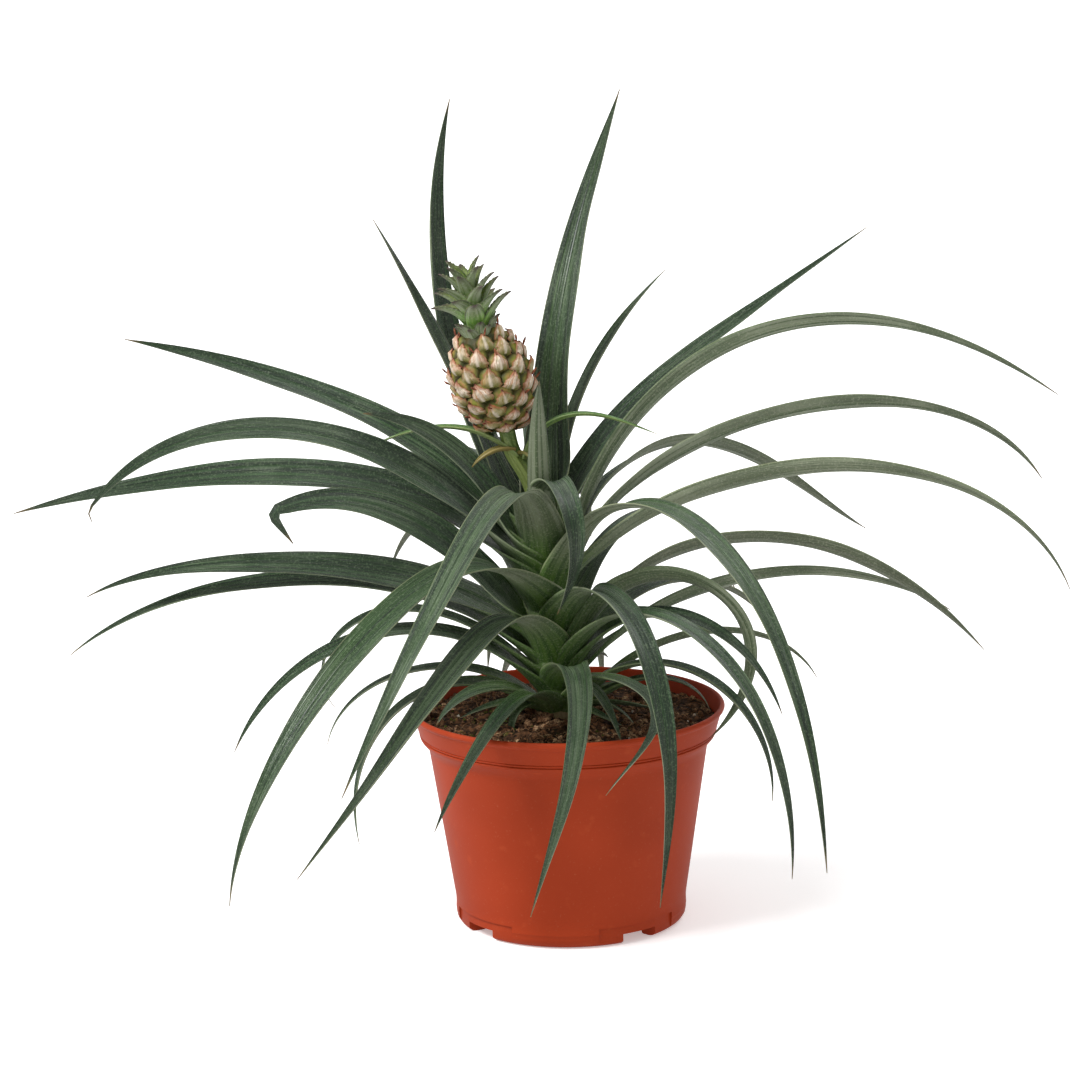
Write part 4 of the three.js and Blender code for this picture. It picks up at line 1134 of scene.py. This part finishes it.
def addCrownLeaf(heap, start, heading, pitch, length, width, random, lime=0.8):
    rings, columns, cup = crown["rings"], crown["columns"], crown["cup"]
    share = np.linspace(0, 1, rings)
    tilt = np.radians(pitch + 4 - crown["curl"] * 1.2 * share ** 1.2 + random.uniform(-6, 8) * share)
    yaw = heading + math.radians(random.uniform(-8, 8)) * share
    along, side = ways(tilt, yaw)
    up = np.cross(along, side)
    spine = np.array(start) + np.concatenate([[np.zeros(3)], np.cumsum(along[:-1] * length / (rings - 1), 0)])
    half = width / 2 * (1 - share) ** 0.85 * (1 + 0.95 * share) + 0.08
    spans = np.linspace(-1, 1, columns)
    angle = spans[None, :] * cup
    radius = (half / cup)[:, None]
    depth = 0.28 + (0.9 * (1 - share) + 0.2)[:, None] * (1 - spans ** 2)[None, :]
    top = laid(spine, side, up, radius * np.sin(angle), radius * (1 - np.cos(angle)))
    bottom = (top - up[:, None, :] * depth[:, :, None])[:, 1:-1][:, ::-1]
    around = 2 * columns - 2
    spanField, faceField = bothSides(spans)
    heap.add(
        onFruit(np.concatenate([top, bottom], 1)), ringFaces(rings, around),
        span=np.tile(spanField, rings), face=np.tile(faceField, rings), tone=random.uniform(0, 0.6),
        run=np.repeat(share * length, around) * mm, tip=np.repeat(0.93 + 0.065 * share ** 2, around),
        fresh=np.repeat(lime * (1 - smooth(share, 0.06, 0.6)), around),
    )
    for edge in (0, columns - 1):
        for k in range(crown["teeth"]):
            at = int((0.18 + 0.72 * (k + 0.5) / crown["teeth"]) * (rings - 1))
            root, after = top[at, edge], top[min(at + 1, rings - 1), edge]
            outward = side[at] * (1 if edge else -1)
            point = root + outward * crown["tooth"] + along[at] * 0.8
            thin = up[at] * 0.16
            tooth = np.array([root - thin, root + thin, after - thin, after + thin, point])
            heap.add(onFruit(tooth), [(0, 1, 3, 2), (0, 4, 1), (2, 3, 4), (0, 2, 4), (1, 4, 3)],
                     span=1.0, face=0.5, run=0.0, tip=0.5, tone=0.3, fresh=0.0)


def buildCrown():
    random = np.random.default_rng(41)
    heap = Heap()
    lift = fruit["length"] + 0.35
    points, faces = lathe(np.array([(r, z + lift) for r, z in crown["core"]], float), 40)
    heap.add(onFruit(points), faces, span=0.0, face=0.0, tone=0.3, run=0.0, tip=0.0, fresh=0.5)
    for k in range(crown["leaves"]):
        t = k / (crown["leaves"] - 1)
        heading = math.radians(k * fruit["turn"])
        place = (*polar(4 - 3 * t, heading), lift + 1 + crown["rise"] * t)
        pitch = crown["pitchLow"] + (crown["pitchHigh"] - crown["pitchLow"]) * t ** 1.5
        pitch += random.uniform(-3, 3)
        length = crown["length"] * (1 - 0.15 * t)
        addCrownLeaf(heap, place, heading, pitch, length, crown["width"] * (1 - 0.35 * t), random,
                     1 if k > crown["leaves"] - 3 else 0.95 - 0.4 * t)
    for k in range(crown["shoulder"]):  # short leaves that close the join of crown and fruit
        heading = (k + random.uniform(-0.2, 0.2)) / crown["shoulder"] * 2 * math.pi
        place = (*polar(6.4, heading), lift - 3.2 - 1.6 * (k % 2))
        addCrownLeaf(heap, place, heading, random.uniform(66, 80), random.uniform(9, 13), 8, random, 0.1)
    keep(heap.piece("crown_leaves", [crownMaterial]), "crown", "crown")
    print("crown made")


buildCrown()


studio = {
    "floor": 0.93, "bounce": 0.55, "glow": 0.35, "floorSize": 120.0, "sky": 0.6, "skySeen": 1.0,
    "cameraAt": (-12.2, -1904, 601), "cameraTo": (-12.2, 0, 197), "roll": 1.2, "focal": 3867 / 1080 * 36,
}
suns = [  # where each shines from, its strength and how wide it spreads, in degrees
    ((-0.6, -0.32, 0.85), 3.3, 26),
    ((0.5, 0.75, 0.6), 0.7, 40),
]


def buildStudio():
    side = studio["floorSize"] / 2
    heap = Heap()
    heap.add([(-side, -side, 0), (side, -side, 0), (side, side, 0), (-side, side, 0)], [(0, 1, 2, 3)])
    material, tree, shader = newMaterial("floor paper", Roughness=0.9, Specular_IOR_Level=0.1,
                                         Emission_Color=(1, 1, 1, 1), Emission_Strength=studio["glow"])
    # the floor throws back less than it shows
    seen = put(tree, "ShaderNodeLightPath").outputs["Is Camera Ray"]
    paper = ramped(tree, seen, 0.0, 1.0, studio["bounce"], studio["floor"])
    tree.links.new(paper, shader.inputs["Base Color"])
    floor = heap.piece("floor", [material])
    world = bpy.data.worlds.new("studio")
    world.use_nodes = True
    sky = world.node_tree
    seen = put(sky, "ShaderNodeLightPath").outputs["Is Camera Ray"]
    sky.nodes["Background"].inputs["Color"].default_value = (1, 1, 1, 1)
    sky.links.new(ramped(sky, seen, 0.0, 1.0, studio["sky"], studio["skySeen"]),
                  sky.nodes["Background"].inputs["Strength"])
    bpy.context.scene.world = world
    for source, strength, spread in suns:
        lamp = bpy.data.lights.new("sun", "SUN")
        lamp.energy = strength
        lamp.angle = math.radians(spread)
        holder = bpy.data.objects.new("sun", lamp)
        holder.rotation_euler = Vector(source).to_track_quat("Z", "Y").to_euler()
        bpy.context.scene.collection.objects.link(holder)
    camera = bpy.data.cameras.new("camera")
    camera.lens = studio["focal"]
    camera.sensor_width = 36
    camera.clip_end = 200
    holder = bpy.data.objects.new("camera", camera)
    place, aim = Vector(studio["cameraAt"]) * mm, Vector(studio["cameraTo"]) * mm
    forward = (aim - place).normalized()
    level = forward.cross(Vector((0, 0, 1))).normalized()
    rise = level.cross(forward)
    roll = math.radians(studio["roll"])
    right = level * math.cos(roll) - rise * math.sin(roll)
    over = level * math.sin(roll) + rise * math.cos(roll)
    turned = Matrix((right, over, -forward)).transposed().to_4x4()
    holder.matrix_world = Matrix.Translation(place) @ turned
    bpy.context.scene.collection.objects.link(holder)
    bpy.context.scene.camera = holder
    bpy.context.scene.view_settings.view_transform = "Standard"
    print("studio made")


buildStudio()
